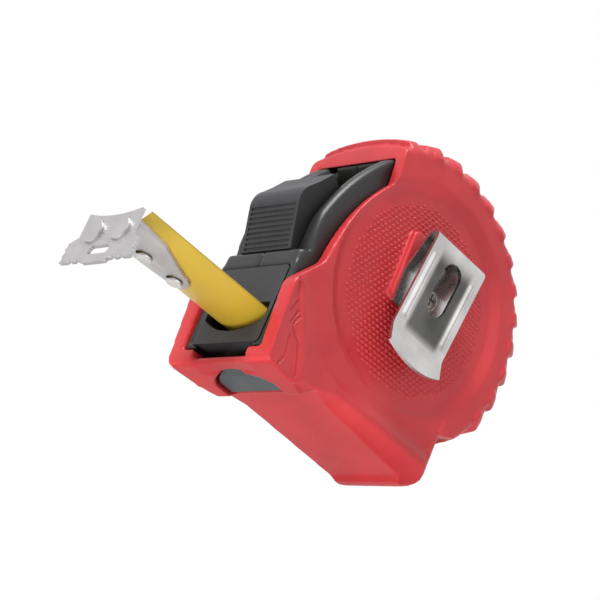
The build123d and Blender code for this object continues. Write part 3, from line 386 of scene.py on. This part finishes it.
# %% [markdown]
# The jacket is one rubber moulding, with no sharp edge on it. The CAD solid has crisp edges, so a copy is
# cast anew: Remesh in voxel mode gives an even skin, Smooth rounds every edge by about half a millimetre,
# and Decimate drops the faces that flat places don't need. The copy then stands for the CAD node.

# %% Jacket, cast anew
SAME_POINT = 0.002 * MM
SKIN_VOXEL = 0.42 * MM
SKIN_KEEP = 0.35
HALFWAY = 0.5
JACKET_ROUNDS = 5


def shaped_mesh(thing):
    """A new mesh with the thing's modifiers worked in."""
    return bpy.data.meshes.new_from_object(thing.evaluated_get(bpy.context.evaluated_depsgraph_get()))


def cast_anew(node_name, name, worn_finish, rounds):
    """A smooth, even copy of a CAD node, as a new piece."""
    piece = put_in_scene(name, nodes[node_name].data.copy())
    join = piece.modifiers.new("join", "WELD")
    join.merge_threshold = SAME_POINT
    even = piece.modifiers.new("even", "REMESH")
    even.mode = "VOXEL"
    even.voxel_size = SKIN_VOXEL
    even.use_smooth_shade = True
    soften = piece.modifiers.new("soften", "SMOOTH")
    soften.factor = HALFWAY
    soften.iterations = rounds
    thin = piece.modifiers.new("thin", "DECIMATE")
    thin.ratio = SKIN_KEEP
    shaped = shaped_mesh(piece)
    piece.modifiers.clear()
    piece.data = shaped
    dress(shaped, worn_finish)
    return piece


jacket = cast_anew("jacket", "rubber_jacket", finish["red_rubber"], JACKET_ROUNDS)
print("jacket faces", len(jacket.data.polygons))

# %% [markdown]
# The small relief of the jacket needs finer faces than the rest of its skin. Subdividing all of it would give
# millions of faces, so this helper divides only the edges that reach into a given place, round after
# round. BMesh divides them, and numpy measures them all at once, much faster than a loop over edges.

# %% Dividing the skin finer
DIVIDE_ROUNDS = 9


def edge_ends(grown):
    """Both ends of every edge, in millimetres."""
    flat = bpy.data.meshes.new("measure")
    grown.to_mesh(flat)
    coords = np.empty(len(flat.vertices) * 3, np.float32)
    pairs = np.empty(len(flat.edges) * 2, np.int32)
    flat.vertices.foreach_get("co", coords)
    flat.edges.foreach_get("vertices", pairs)
    bpy.data.meshes.remove(flat)
    return coords.reshape(-1, 3)[pairs.reshape(-1, 2)] / MM


def refine(grown, outside, longest):
    """Divides the edges that reach into a place until none there is longer than asked."""
    for _ in range(DIVIDE_ROUNDS):
        ends = edge_ends(grown)
        lengths = np.linalg.norm(ends[:, 0] - ends[:, 1], axis=1)
        wanted = np.flatnonzero((outside(ends.mean(axis=1)) < lengths / 2) & (lengths > longest))
        if not len(wanted):
            break
        grown.edges.ensure_lookup_table()
        bmesh.ops.subdivide_edges(grown, edges=[grown.edges[i] for i in wanted], cuts=1)
        bmesh.ops.triangulate(grown, faces=[f for f in grown.faces if len(f.verts) > 3])


def spots_of(grown):
    """All points of the skin, in millimetres."""
    return np.array([v.co[:] for v in grown.verts]) / MM


skin = bmesh.new()
skin.from_mesh(jacket.data)
print("skin points before dividing", len(skin.verts))

# %% [markdown]
# The lips beside the mouth aren't flat: a slanting ridge runs down each, with a shallow valley before it and
# a flare at the front edge. Such facets could be CAD cuts, but they have to run out softly, as hand-worked
# mould steel gives them. So the points of the lips move outwards, by an amount read from a curve.

# %% Facets on the lips
RIDGE_UP = (0.0, 3.9, 9.0, 14.2, 20.1, 22.5)
RIDGE_ALONG = (22.2, 24.4, 27.3, 30.2, 33.7, 36.4)
RIDGE_OUT, FLARE_OUT = 0.55, 1.2
RIDGE_FADE = 5.0
LIP_BACK, LIP_FRONT = 21.0, 36.2
FACET_LEAST = 0.5
LIP_TOP, LIP_TOP_FADE = 20.5, 3.0
LIP_INNER, LIP_OUTER = 13.3, 16.0
LIP_EDGE = 0.9


def fade(value, start, length):
    """0 up to the start, 1 a length after it, and straight between."""
    return np.clip((value - start) / length, 0, 1)


def outside_lips(points):
    """How far points are outside the lips' outer sides, in millimetres."""
    along, aside, up = points[:, 0], np.abs(points[:, 1]), points[:, 2]
    return np.max([LIP_BACK - along, up - (LIP_TOP + LIP_TOP_FADE), LIP_INNER - aside], axis=0)


def lip_shift(points):
    """How far each point of a lip moves away from the middle of the tool."""
    along, aside, up = points[:, 0], np.abs(points[:, 1]), points[:, 2]
    ridge = np.interp(up, RIDGE_UP, RIDGE_ALONG)
    forward = fade(along, ridge, np.maximum(LIP_FRONT - ridge, FACET_LEAST))
    before = np.abs(RIDGE_OUT - (RIDGE_OUT + FLARE_OUT) * forward)
    behind = RIDGE_OUT * (1 - fade(ridge, along, RIDGE_FADE)) ** 2
    shift = np.where(along > ridge, before, behind)
    shift = shift * fade(aside, LIP_INNER, LIP_OUTER - LIP_INNER)
    return shift * fade(LIP_TOP + LIP_TOP_FADE, up, LIP_TOP_FADE)


refine(skin, outside_lips, LIP_EDGE)
shifts = lip_shift(spots_of(skin))
for v, shift in zip(skin.verts, shifts):
    v.co.y += math.copysign(shift * MM, v.co.y)
print("lip points moved", int(np.count_nonzero(shifts)), "by up to", round(float(shifts.max()), 2), "mm")

# %% [markdown]
# The grip on the back is a row of pads about the middle of the crown, twelve at even angles. Every place on
# it is easiest told by a radius and an angle, and by the share of a pad's pitch that the angle has passed.
# The angles are those of the CAD pads, so the relief comes to lie on them.

# %% Where the grip is
CROWN_X, CROWN_Z = 0.9, 38.1
PAD_FIRST, PAD_PITCH, PADS = 66.2, 11.8, 12
TONGUE_FROM = 33.6
RIM_MARGIN = 0.5
RIM_EDGE = 1.0


def round_crown(points):
    """Radius and angle of points about the crown's middle."""
    along, up = points[:, 0] - CROWN_X, points[:, 2] - CROWN_Z
    return np.hypot(along, up), np.degrees(np.arctan2(up, along)) % 360


def outside_rim(points):
    """How far points are outside the grip's rim."""
    radius, angle = round_crown(points)
    off = np.maximum(PAD_FIRST - angle, angle - PAD_FIRST - PADS * PAD_PITCH)
    return np.max([TONGUE_FROM - RIM_MARGIN - radius, off], axis=0)


refine(skin, outside_rim, RIM_EDGE)
spots = spots_of(skin)
radius, angle = round_crown(spots)
pad_share = (angle - PAD_FIRST) / PAD_PITCH % 1
on_rim = outside_rim(spots) < 0
print("rim points", int(on_rim.sum()), "of", len(spots))

# %% [markdown]
# The pads are like saw teeth, with a gentle flank and a steep one, and they wrap over the rim in tongues,
# with a crease between each two. The points near the rim move out on a pad and in between pads, and a
# little smoothing takes the steps away. Sculpting could do it too, but would not give twelve alike.

# %% Grip tongues
PAD_BAND = (0.60, 0.25, 0.06)
CREASE_BAND = (0.95, 0.08, 0.04)
TOOTH_FLANK = (0.40, 0.40)
TOOTH_OUT, TOOTH_RIM = 0.55, (35.5, 1.5)
CREASE_IN, CREASE_RIM = 0.6, (35.5, 0.8)
TONGUE_UP, TONGUE_SOFT = 0.6, 0.8
TONGUE_SIDE = (13, 2)
RIM_ROUNDS = 2


def in_band(share, middle, half, soft):
    """1 within a band of shares about a middle, with soft ends."""
    return fade(half - np.abs(share - middle), 0, soft)


on_pad = on_rim * in_band(pad_share, *PAD_BAND)
tooth = on_pad * fade(pad_share, *TOOTH_FLANK) * fade(radius, *TOOTH_RIM)
crease = on_rim * in_band(pad_share, *CREASE_BAND) * fade(radius, *CREASE_RIM)
tongue = on_pad * fade(radius, TONGUE_FROM, TONGUE_SOFT) * fade(np.abs(spots[:, 1]), *TONGUE_SIDE)
grow = 1 + (TOOTH_OUT * tooth - CREASE_IN * crease) / radius
for v, sideways, scale in zip(skin.verts, tongue * TONGUE_UP * MM, grow):
    v.co.y += math.copysign(sideways, v.co.y)
    v.co.x = CROWN_X * MM + (v.co.x - CROWN_X * MM) * scale
    v.co.z = CROWN_Z * MM + (v.co.z - CROWN_Z * MM) * scale
rim_points = [v for v, moved in zip(skin.verts, on_rim) if moved]
every_way = {"use_axis_x": True, "use_axis_y": True, "use_axis_z": True}
for _ in range(RIM_ROUNDS):
    bmesh.ops.smooth_vert(skin, verts=rim_points, factor=HALFWAY, **every_way)
print("tongue points", int((tongue > 0).sum()), "tooth points", int((tooth > 0).sum()))

# %% [markdown]
# Each lip carries three short strokes and a leaf-shaped line, pressed into the rubber. They are given as
# lines of straight runs in the side view, along and up. To press them in, the skin has to know how far each
# of its points is from the nearest line.

# %% Where the pressed lines are
PRESSED_LINES = [
    [(33.3, 16.5), (34.6, 13.2)],
    [(31.8, 14.8), (33.1, 11.3)],
    [(31.1, 13.9), (32.0, 11.1)],
    [(31.7, 10.4), (29.7, 9.3), (28.6, 8.3), (26.7, 4.2), (25.8, 1.6)],
    [(31.9, 8.6), (31.4, 6.6), (31.0, 4.7), (31.2, 2.9), (32.0, 1.2)],
]
PRESS_HALF = 0.40
LINES_TOP = 21
LIP_SIDE_Y = 13.8
FAR_AWAY = 1e9


def line_distance(points, line):
    """Distance of (x, z) points from a line of straight runs, in millimetres."""
    best = np.full(len(points), FAR_AWAY)
    for start, end in zip(line[:-1], line[1:]):
        a = np.array(start)
        along = np.array(end) - a
        part = np.clip(((points - a) @ along) / (along @ along), 0, 1)
        best = np.minimum(best, np.linalg.norm(points - a - part[:, None] * along, axis=1))
    return best


def outside_lines(points):
    """How far points are outside the pressed lines; points off the lips' outer sides are far away."""
    gap = np.full(len(points), FAR_AWAY)
    near = (points[:, 0] > LIP_BACK) & (points[:, 2] < LINES_TOP) & (np.abs(points[:, 1]) > LIP_SIDE_Y)
    flat = points[near][:, [0, 2]]
    gap[near] = np.min([line_distance(flat, line) for line in PRESSED_LINES], axis=0) - PRESS_HALF
    return gap


print("pressed lines", len(PRESSED_LINES))

# %% [markdown]
# A bump map would show the lines only in the render, so they are cut into the mesh: the faces along each
# line are divided much finer, and their points are pushed in with a round bottom. With that the jacket is
# done, and it rides on the housing in place of its CAD node.

# %% Pressed lines, and the jacket in place
PRESS_DEEP = 0.42
LINE_EDGE = 0.2
refine(skin, outside_lines, LINE_EDGE)
inside = np.clip(-outside_lines(spots_of(skin)) / PRESS_HALF, 0, 1)
for v, depth in zip(skin.verts, inside):
    if depth > 0:
        v.co.y -= math.copysign(PRESS_DEEP * MM * math.sqrt(depth), v.co.y)
skin.to_mesh(jacket.data)
skin.free()
jacket.data.shade_smooth()
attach(jacket, "housing")
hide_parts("jacket")
print("jacket faces with facets, tongues and lines", len(jacket.data.polygons))

# %% [markdown]
# Inside the dish of each side lies a disc with a knurled face: rows of low knobs, set like bricks. There
# are about a thousand. An Array modifier can't follow a round outline, so one knob is described here by
# its points, and it is copied to every place of the lattice in the next cell.

# %% One knob
KNOB_HALF = (0.66, 0.46)
KNOB_HIGH, KNOB_SUNK = 0.34, 0.15
KNOB_SIDES = 8
SHOULDER_IN, SHOULDER_UP = 0.66, 0.72


def knob_template():
    """Points and faces of one low knob: a foot ring sunk in the rubber, a shoulder ring and a top."""
    turn = np.linspace(0, 2 * np.pi, KNOB_SIDES, endpoint=False)
    ring = np.c_[np.cos(turn) * KNOB_HALF[0], np.sin(turn) * KNOB_HALF[1]]
    points = [(x, z, -KNOB_SUNK) for x, z in ring]
    points += [(x * SHOULDER_IN, z * SHOULDER_IN, KNOB_HIGH * SHOULDER_UP) for x, z in ring]
    points.append((0, 0, KNOB_HIGH))
    faces = []
    for i in range(KNOB_SIDES):
        j = (i + 1) % KNOB_SIDES
        faces.append((i, j, KNOB_SIDES + j, KNOB_SIDES + i))
        faces.append((KNOB_SIDES + i, KNOB_SIDES + j, 2 * KNOB_SIDES))
    return points, faces


print("a knob has", len(knob_template()[0]), "points")

# %% [markdown]
# A ray is cast at the jacket from each place of the lattice, and the knob stands where it hits. Rays that
# miss the flat bottom of the dish give no knob, which leaves the clip's seat and the rim free.

# %% Knurled discs
AXIS_Z = 38.0
DISC_R = 22.9
KNOB_PITCH, KNOB_ROW = 1.5, 1.12
DISC_LOW, DISC_HIGH = 14.5, 15.75
RAY_FROM = 30


def lattice():
    """Places of the knobs about the disc's middle, each second row moved by half a pitch."""
    rows, columns = int(DISC_R / KNOB_ROW), int(DISC_R / KNOB_PITCH) + 1
    for row in range(-rows, rows + 1):
        for column in range(-columns, columns + 1):
            x, z = (column + (row % 2) / 2) * KNOB_PITCH, row * KNOB_ROW
            if math.hypot(x, z) <= DISC_R:
                yield x, z


def knurl(side, name):
    """All the knobs on one side's disc, as one piece."""
    tree = BVHTree.FromObject(jacket, bpy.context.evaluated_depsgraph_get())
    template, faces = knob_template()
    points, all_faces = [], []
    for x, z in lattice():
        start = Vector((x, side * RAY_FROM, AXIS_Z + z)) * MM
        spot = tree.ray_cast(start, Vector((0, -side, 0)))[0]
        if spot is None or not DISC_LOW < abs(spot.y) / MM < DISC_HIGH:
            continue
        first, aside = len(points), abs(spot.y) / MM
        points += [(x + px, (aside + up) * side, AXIS_Z + z + pz) for px, pz, up in template]
        all_faces += [tuple(first + i for i in face[::-side]) for face in faces]
    mesh = bpy.data.meshes.new(name)
    mesh.from_pydata((np.array(points) * MM).tolist(), [], all_faces)
    mesh.shade_smooth()
    mesh.materials.append(finish["red_rubber"])
    piece = put_in_scene(name, mesh)
    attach(piece, "housing")
    return piece


knurl_near = knurl(1, "knurl_clip_side")
knurl_far = knurl(-1, "knurl_far_side")
print("knob faces", len(knurl_near.data.polygons), len(knurl_far.data.polygons))

# %% [markdown]
# The two case halves are black mouldings whose beads along the lock's track are round and shine softly. They
# are cast anew like the jacket, with more rounds of smoothing. Each half is smoothed on its own, which
# leaves the fine seam between them.

# %% Case halves
CASE_ROUNDS = 9
for node_name, piece_name in (("case_left", "case_far_half"), ("case_right", "case_clip_half")):
    half_case = cast_anew(node_name, piece_name, finish["black_gloss"], CASE_ROUNDS)
    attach(half_case, "housing")
    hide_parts(node_name)
    print(piece_name, "faces", len(half_case.data.polygons))

# %% [markdown]
# The thumb lock ends behind its crest, and leaves a dark hollow between it and the jacket's brow. The CAD
# slider is longer there. A Boolean could shorten it, but one flat cut is simpler with a plane: a copy is
# cut off with it and closed again.

# %% Thumb lock
HOOD_END = Vector((32.3, 0, 53.0)) * MM
HOOD_WAY = Vector((-0.56, 0, 0.83)).normalized()
cut = bmesh.new()
cut.from_mesh(nodes["lock_slider"].data)
bmesh.ops.remove_doubles(cut, verts=cut.verts, dist=SAME_POINT)
everything = cut.verts[:] + cut.edges[:] + cut.faces[:]
found = bmesh.ops.bisect_plane(cut, geom=everything, plane_co=HOOD_END, plane_no=HOOD_WAY, clear_outer=True)
cut_rim = [g for g in found["geom_cut"] if isinstance(g, bmesh.types.BMEdge)]
bmesh.ops.holes_fill(cut, edges=cut_rim, sides=0)
lock_mesh = bpy.data.meshes.new("thumb_lock")
cut.to_mesh(lock_mesh)
cut.free()
lock_mesh.materials.append(finish["black_plastic"])
thumb_lock = put_in_scene("thumb_lock", lock_mesh)
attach(thumb_lock, "lock")
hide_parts("lock_slider")
print("thumb lock faces", len(lock_mesh.polygons))

# %% [markdown]
# The belt clip is one strip of spring steel: a plate under the screw, a rolled fold, a leaf and a flared end.
# A strip like this is easiest as a grid, with one list of points along its bend line and one across its
# width. The bend line is given as corners with a radius each, as on a drawing for a sheet-metal worker.

# %% Bend line of the clip
CLIP_CORNERS = [(0.0, -6.0), (0.0, 3.4), (8.16, 24.0), (3.0, -11.8), (5.2, -19.2)]
CLIP_RADII = [1.4, 1.5, 1.4]
CLIP_STEP = 0.5
BEND_POINTS = 25


def unit(way):
    """A way of length 1."""
    return way / np.linalg.norm(way)


def bend_line(corners, radii, step):
    """Points along a line with rounded corners, at even steps."""
    dense = [np.array(corners[0])]
    for before, corner, after, radius in zip(corners[:-2], corners[1:-1], corners[2:], radii):
        into, out = unit(np.subtract(corner, before)), unit(np.subtract(after, corner))
        swing = math.atan2(into[0] * out[1] - into[1] * out[0], float(into @ out))
        first = np.array(corner) - into * radius * math.tan(abs(swing) / 2)
        spoke = np.array((-into[1], into[0])) * math.copysign(radius, swing)
        for turned in np.linspace(0, 1, BEND_POINTS) * swing:
            c, s = math.cos(turned), math.sin(turned)
            dense.append(first + spoke - np.array(((c, -s), (s, c))) @ spoke)
    dense = np.array([*dense, np.array(corners[-1])])
    run = np.r_[0, np.cumsum(np.linalg.norm(np.diff(dense, axis=0), axis=1))]
    steps = np.arange(0, run[-1], step)
    return np.c_[np.interp(steps, run, dense[:, 0]), np.interp(steps, run, dense[:, 1])]


clip_line = bend_line(CLIP_CORNERS, CLIP_RADII, CLIP_STEP)
clip_way = np.gradient(clip_line, axis=0)
clip_way /= np.linalg.norm(clip_way, axis=1)[:, None]
clip_out = np.c_[-clip_way[:, 1], clip_way[:, 0]]
top_row = int(np.argmax(clip_line[:, 1]))
low_row = top_row + 1 + int(np.argmin(clip_line[top_row + 1:, 0]))
print("clip rows", len(clip_line), "fold at", [round(float(v), 2) for v in clip_line[top_row]])

# %% [markdown]
# Two ribs are pressed into the leaf to stiffen it, each with a groove along its back, and the flared end is
# cut to an arc. Each point of the grid gets its place from these forms: raised at a rib, lowered in a
# groove, and drawn back at the end. A bell curve gives the round section that a press tool leaves.

# %% Form of the clip
CLIP_MID = 17.5
END_ARC_R = 18.4
RIB_AT, RIB_HALF, RIB_UP = 7.1, 0.85, 0.55
GROOVE_AT, GROOVE_HALF, GROOVE_DEEP = 7.1, 0.26, 0.42
RIB_ENDS = ((-9.6, -8.6), (7.6, 8.6))


def soft_step(value, low, high):
    """0 below low, 1 above high, and smooth between."""
    share = np.clip((value - low) / (high - low), 0, 1)
    return share * share * (3 - 2 * share)


def between(value, rise, fall):
    """1 between a rise and a fall, and 0 outside."""
    return soft_step(value, *rise) * (1 - soft_step(value, *fall))


def bell(distance, half):
    """A bell curve with a top of 1."""
    return math.exp(-((distance / half) ** 2))


def clip_spot(row, x):
    """Place of one point of the clip's grid."""
    rib = RIB_UP * bell(abs(x) - RIB_AT, RIB_HALF)
    groove = GROOVE_DEEP * bell(abs(x) - GROOVE_AT, GROOVE_HALF)
    arc = END_ARC_R - math.sqrt(END_ARC_R ** 2 - x * x)
    back = arc * max(row - low_row, 0) / (len(clip_line) - 1 - low_row)
    spot = clip_line[row] + clip_out[row] * ((rib - groove) * rib_run[row]) - clip_way[row] * back
    return (x * MM, (CLIP_MID + spot[0]) * MM, (AXIS_Z + spot[1]) * MM)


rows = np.arange(len(clip_line))
on_leaf = (rows > top_row) & (rows < low_row)
rib_run = on_leaf * between(clip_line[:, 1], *RIB_ENDS)
print("rows with ribs", int((rib_run > 0).sum()), "of", len(rows))

# %% [markdown]
# On the clip, painted light: ribs, fold, edges and flare keep the bright colour as a painted highlight, and
# the field between is brought down as a painted dark reflection, the grooves as painted shade. A picture
# painted by hand could say where, but the grid knows it already: each point carries this painted light as an
# attribute, and the finish reads it later.

# %% Painted light on the clip, and its grid
FIELD_ENDS = ((-12.4, -9.4), (6.6, 11.6))
FIELD_HALF, FIELD_SOFT = 6.6, 1.6
# Share of the colour taken out along the grooves: painted shade.
GROOVE_SHADE = 0.9
CLIP_HALF = 9.2
COLUMN_RUNS = ((-CLIP_HALF, -8.2, 5), (-8.0, -5.6, 25), (-5.2, 0.0, 12))
field_run = on_leaf * between(clip_line[:, 1], *FIELD_ENDS)


def clip_polish(row, x):
    """Painted light on the clip: 1 for the painted highlight, less in the painted dark reflection and shade.
    """
    field = field_run[row] * (1 - soft_step(abs(x), FIELD_HALF - FIELD_SOFT, FIELD_HALF))
    # Painted shade along the groove of each rib.
    shade_in_groove = GROOVE_SHADE * rib_run[row] * bell(abs(x) - GROOVE_AT, GROOVE_HALF)
    return 1 - max(float(field), float(shade_in_groove))


half_across = np.concatenate([np.linspace(*run) for run in COLUMN_RUNS])
across = np.r_[half_across, -half_across[-2::-1]]
columns = len(across)
grid = [(row, x) for row in range(len(clip_line)) for x in across]
clip_faces = [
    (r * columns + c, r * columns + c + 1, (r + 1) * columns + c + 1, (r + 1) * columns + c)
    for r in range(len(clip_line) - 1)
    for c in range(columns - 1)
]
clip_mesh = bpy.data.meshes.new("clip_strip")
clip_mesh.from_pydata([clip_spot(*at) for at in grid], [], clip_faces)
shine = clip_mesh.attributes.new("polish", "FLOAT", "POINT")
shine.data.foreach_set("value", [clip_polish(*at) for at in grid])
belt_clip = put_in_scene("clip_strip", clip_mesh)
print("clip grid", len(clip_line), "rows,", columns, "columns")

# %% [markdown]
# A keyhole in the leaf lets a screwdriver reach the screw behind it. It is a slot with round ends. Faces
# could be left out of the grid, but the outline would then follow its squares, so a cutter is made: a
# prism with the slot's outline, which reaches through the leaf only.

# %% Cutter for the keyhole
KEYHOLE_WIDE, KEYHOLE_HIGH, KEYHOLE_UP = 6.2, 13.6, 2.2
CUT_FROM, CUT_TO = 2.6, 12
ROUND_POINTS = 17


def slot_prism(name, wide, high, middle_z, y_low, y_high):
    """A prism with a slot's outline, standing along Y."""
    turn = np.linspace(0, np.pi, ROUND_POINTS)
    rise = high / 2 - wide / 2
    outline = [(math.cos(a) * wide / 2, rise + math.sin(a) * wide / 2) for a in turn]
    outline += [(-x, -z) for x, z in outline]
    count = len(outline)
    points = [(x * MM, y * MM, (middle_z + z) * MM) for y in (y_low, y_high) for x, z in outline]
    faces = [tuple(range(count)), tuple(range(2 * count - 1, count - 1, -1))]
    faces += [(i, i + count, (i + 1) % count + count, (i + 1) % count) for i in range(count)]
    mesh = bpy.data.meshes.new(name)
    mesh.from_pydata(points, [], faces)
    return put_in_scene(name, mesh)


keyhole_y = (CLIP_MID + CUT_FROM, CLIP_MID + CUT_TO)
cutter = slot_prism("keyhole_cutter", KEYHOLE_WIDE, KEYHOLE_HIGH, AXIS_Z + KEYHOLE_UP, *keyhole_y)
print("keyhole", KEYHOLE_WIDE, "x", KEYHOLE_HIGH, "mm")

# %% [markdown]
# Solidify gives the strip its thickness, half to each side, and a Boolean cuts the keyhole. Both are worked
# into the mesh, so that the cutter can go. Edge Split then keeps the stamped edges crisp while the bends
# stay smooth.

# %% Thickness and keyhole
CLIP_THICK = 0.8
CRISP_ANGLE = 50
thick = belt_clip.modifiers.new("thick", "SOLIDIFY")
thick.thickness = CLIP_THICK * MM
thick.offset = 0.0
hole = belt_clip.modifiers.new("keyhole", "BOOLEAN")
hole.operation = "DIFFERENCE"
hole.object = cutter
hole.solver = "EXACT"
stamped = shaped_mesh(belt_clip)
belt_clip.modifiers.clear()
belt_clip.data = stamped
bpy.data.objects.remove(cutter)
stamped.shade_smooth()
crisp = belt_clip.modifiers.new("crisp", "EDGE_SPLIT")
crisp.split_angle = math.radians(CRISP_ANGLE)
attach(belt_clip, "housing")
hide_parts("belt_clip")
print("clip faces", len(stamped.polygons), "polish kept:", "polish" in stamped.attributes)

# %% [markdown]
# The clip's finish starts as bright plated steel. The painted light that the grid carries brings the colour
# down in the field, as a painted dark reflection, and in the grooves, as painted shade, and a broad noise
# makes that uneven, as wear is. Two materials with a hard border between them would look painted.

# %% Clip steel
STEEL = (((0.50, 0.49, 0.485), (0.62, 0.61, 0.60)), 7, 0.15, (0.20, 0.32), 0.08)
WEAR_PATCH, WEAR_DETAIL, WEAR_SHARE = 9, 1.0, 0.45
REFLECTION_AND_WEAR_ENDS = (0.12, 1.20)
# Share of the colour left in the painted dark reflection of the field.
DARK_REFLECTION_SHARE = 0.17
clip_steel = make_finish("clip_steel", *STEEL, metal=1.0)
clip_tree = clip_steel.node_tree
clip_colour = clip_tree.nodes["Principled BSDF"].inputs["Base Color"]
bright = clip_colour.links[0].from_socket
# The attribute holds painted highlight, painted dark reflection and painted shade.
polish = add_node(clip_tree, "ShaderNodeAttribute")
polish.attribute_name = "polish"
uneven = add_node(clip_tree, "ShaderNodeMath", {1: WEAR_SHARE}, "MULTIPLY_ADD")
clip_tree.links.new(grain_noise(clip_tree, WEAR_PATCH, WEAR_DETAIL), uneven.inputs[0])
clip_tree.links.new(polish.outputs["Fac"], uneven.inputs[2])
tint = spread_range(clip_tree, uneven.outputs[0], REFLECTION_AND_WEAR_ENDS, (DARK_REFLECTION_SHARE, 1.0))
clip_tree.links.new(scaled_colour(clip_tree, bright, tint), clip_colour)
dress(belt_clip.data, clip_steel)
dress(nodes["belt_clip"].data, clip_steel)
# Where the clip is called dull, its colour is a painted dark reflection.
print("clip steel falls to", DARK_REFLECTION_SHARE, "where it is dull")

# %% [markdown]
# The blade's upper side carries a plain scale: a tick each millimetre, longer ones at 5 and 10, and a number
# at each centimetre from the hook. Print could be a texture, but a decal of thin mesh stays sharp in every
# view. Each point of it is laid on the cupped section, a hair above the lacquer.

# %% Ticks of the scale
blade_low, blade_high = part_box("blade")
CUP_R, BLADE_BELLY, BLADE_THICK = 14.97, 10.0, 0.3
INK_UP = 0.03
HOOK_FACE = 74.7
FIRST_MARK = 2
TICKS = {1: (0.16, 3.0), 5: (0.20, 4.6), 10: (0.24, 7.4)}
TICK_FROM, TICK_POINTS = 9.2, 9
ink_points, ink_faces = [], []


def on_cup(x, y):
    """Point on the blade's upper side."""
    inner = CUP_R - BLADE_THICK
    return (x * MM, y * MM, (BLADE_BELLY + CUP_R - math.sqrt(inner ** 2 - y * y) + INK_UP) * MM)


def add_tick(x, wide, long, side):
    """One tick from the blade's edge inwards, as a ribbon of small faces that follows the cup."""
    first = len(ink_points)
    for y in np.linspace(TICK_FROM, TICK_FROM - long, TICK_POINTS) * side:
        ink_points.extend((on_cup(x - wide / 2, y), on_cup(x + wide / 2, y)))
    for i in range(first, len(ink_points) - 2, 2):
        ink_faces.append((i, i + 1, i + 3, i + 2)[::side])


for mark in range(FIRST_MARK, int(HOOK_FACE - blade_low[0] / MM) - 1):
    kind = 10 if mark % 10 == 0 else 5 if mark % 5 == 0 else 1
    for side in (1, -1):
        add_tick(HOOK_FACE - mark, *TICKS[kind], side)
print("tick faces", len(ink_faces), "blade", [round(v / MM, 2) for v in (*blade_low, *blade_high)])

# %% [markdown]
# Numbers come from Blender's own font. A Text object gives each digit a flat mesh, which is turned to read
# across the blade and laid on the cup like the ticks, a little nearer to the hook than its centimetre.

# %% Numbers of the scale
NUMBERS = range(1, 5)
CENTIMETRE = 10
DIGIT_HIGH = 4.4
DIGIT_PER_FONT = 0.7
DIGIT_AHEAD = 2.6
for number in NUMBERS:
    letter = bpy.data.curves.new("digit", "FONT")
    letter.body = str(number)
    letter.size = DIGIT_HIGH / DIGIT_PER_FONT * MM
    letter.align_x = "CENTER"
    letter.align_y = "CENTER"
    text = put_in_scene("digit", letter)
    bpy.context.view_layer.update()
    shape = shaped_mesh(text)
    first, middle = len(ink_points), HOOK_FACE - CENTIMETRE * number + DIGIT_AHEAD
    ink_points += [on_cup(middle + v.co.y / MM, -v.co.x / MM) for v in shape.vertices]
    ink_faces += [tuple(first + i for i in polygon.vertices) for polygon in shape.polygons]
    bpy.data.objects.remove(text)
print("faces with numbers", len(ink_faces))

# %% [markdown]
# Ticks and numbers become one piece in black ink, a finish like the others. It rides on the blade, so that
# the scale slides in and out with it.

# %% Scale on the blade
INK = (((0.012, 0.012, 0.012), (0.022, 0.022, 0.022)), 3, 0.2, (0.35, 0.5), 0.05)
ink_mesh = bpy.data.meshes.new("blade_scale")
ink_mesh.from_pydata(ink_points, [], ink_faces)
ink_mesh.materials.append(make_finish("black_ink", *INK))
blade_scale = put_in_scene("blade_scale", ink_mesh)
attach(blade_scale, "blade")
print("scale points", len(ink_points))

# %% [markdown]
# Moulded plastic and stamped steel never have knife edges. A Bevel modifier rounds the edges of the CAD
# nodes and of the thumb lock, after Weld has joined the points that the CAD export split. The nodes' own
# meshes stay as they are, which a bevel in edit mode could not promise.

# %% Eased edges
EASE = {
    nodes["mouth_guide"]: 0.30,
    thumb_lock: 0.30,
    nodes["brake_button"]: 0.35,
    nodes["end_hook"]: 0.08,
    nodes["hook_magnets"]: 0.30,
    nodes["hook_rivets"]: 0.22,
    nodes["clip_screw"]: 0.10,
}
EASE_SEGMENTS = 3
EASE_ANGLE = 28
for piece, width in EASE.items():
    join = piece.modifiers.new("join", "WELD")
    join.merge_threshold = SAME_POINT
    ease = piece.modifiers.new("ease", "BEVEL")
    ease.width = width * MM
    ease.segments = EASE_SEGMENTS
    ease.limit_method = "ANGLE"
    ease.angle_limit = math.radians(EASE_ANGLE)
    ease.harden_normals = True
print("eased", len(EASE), "pieces")
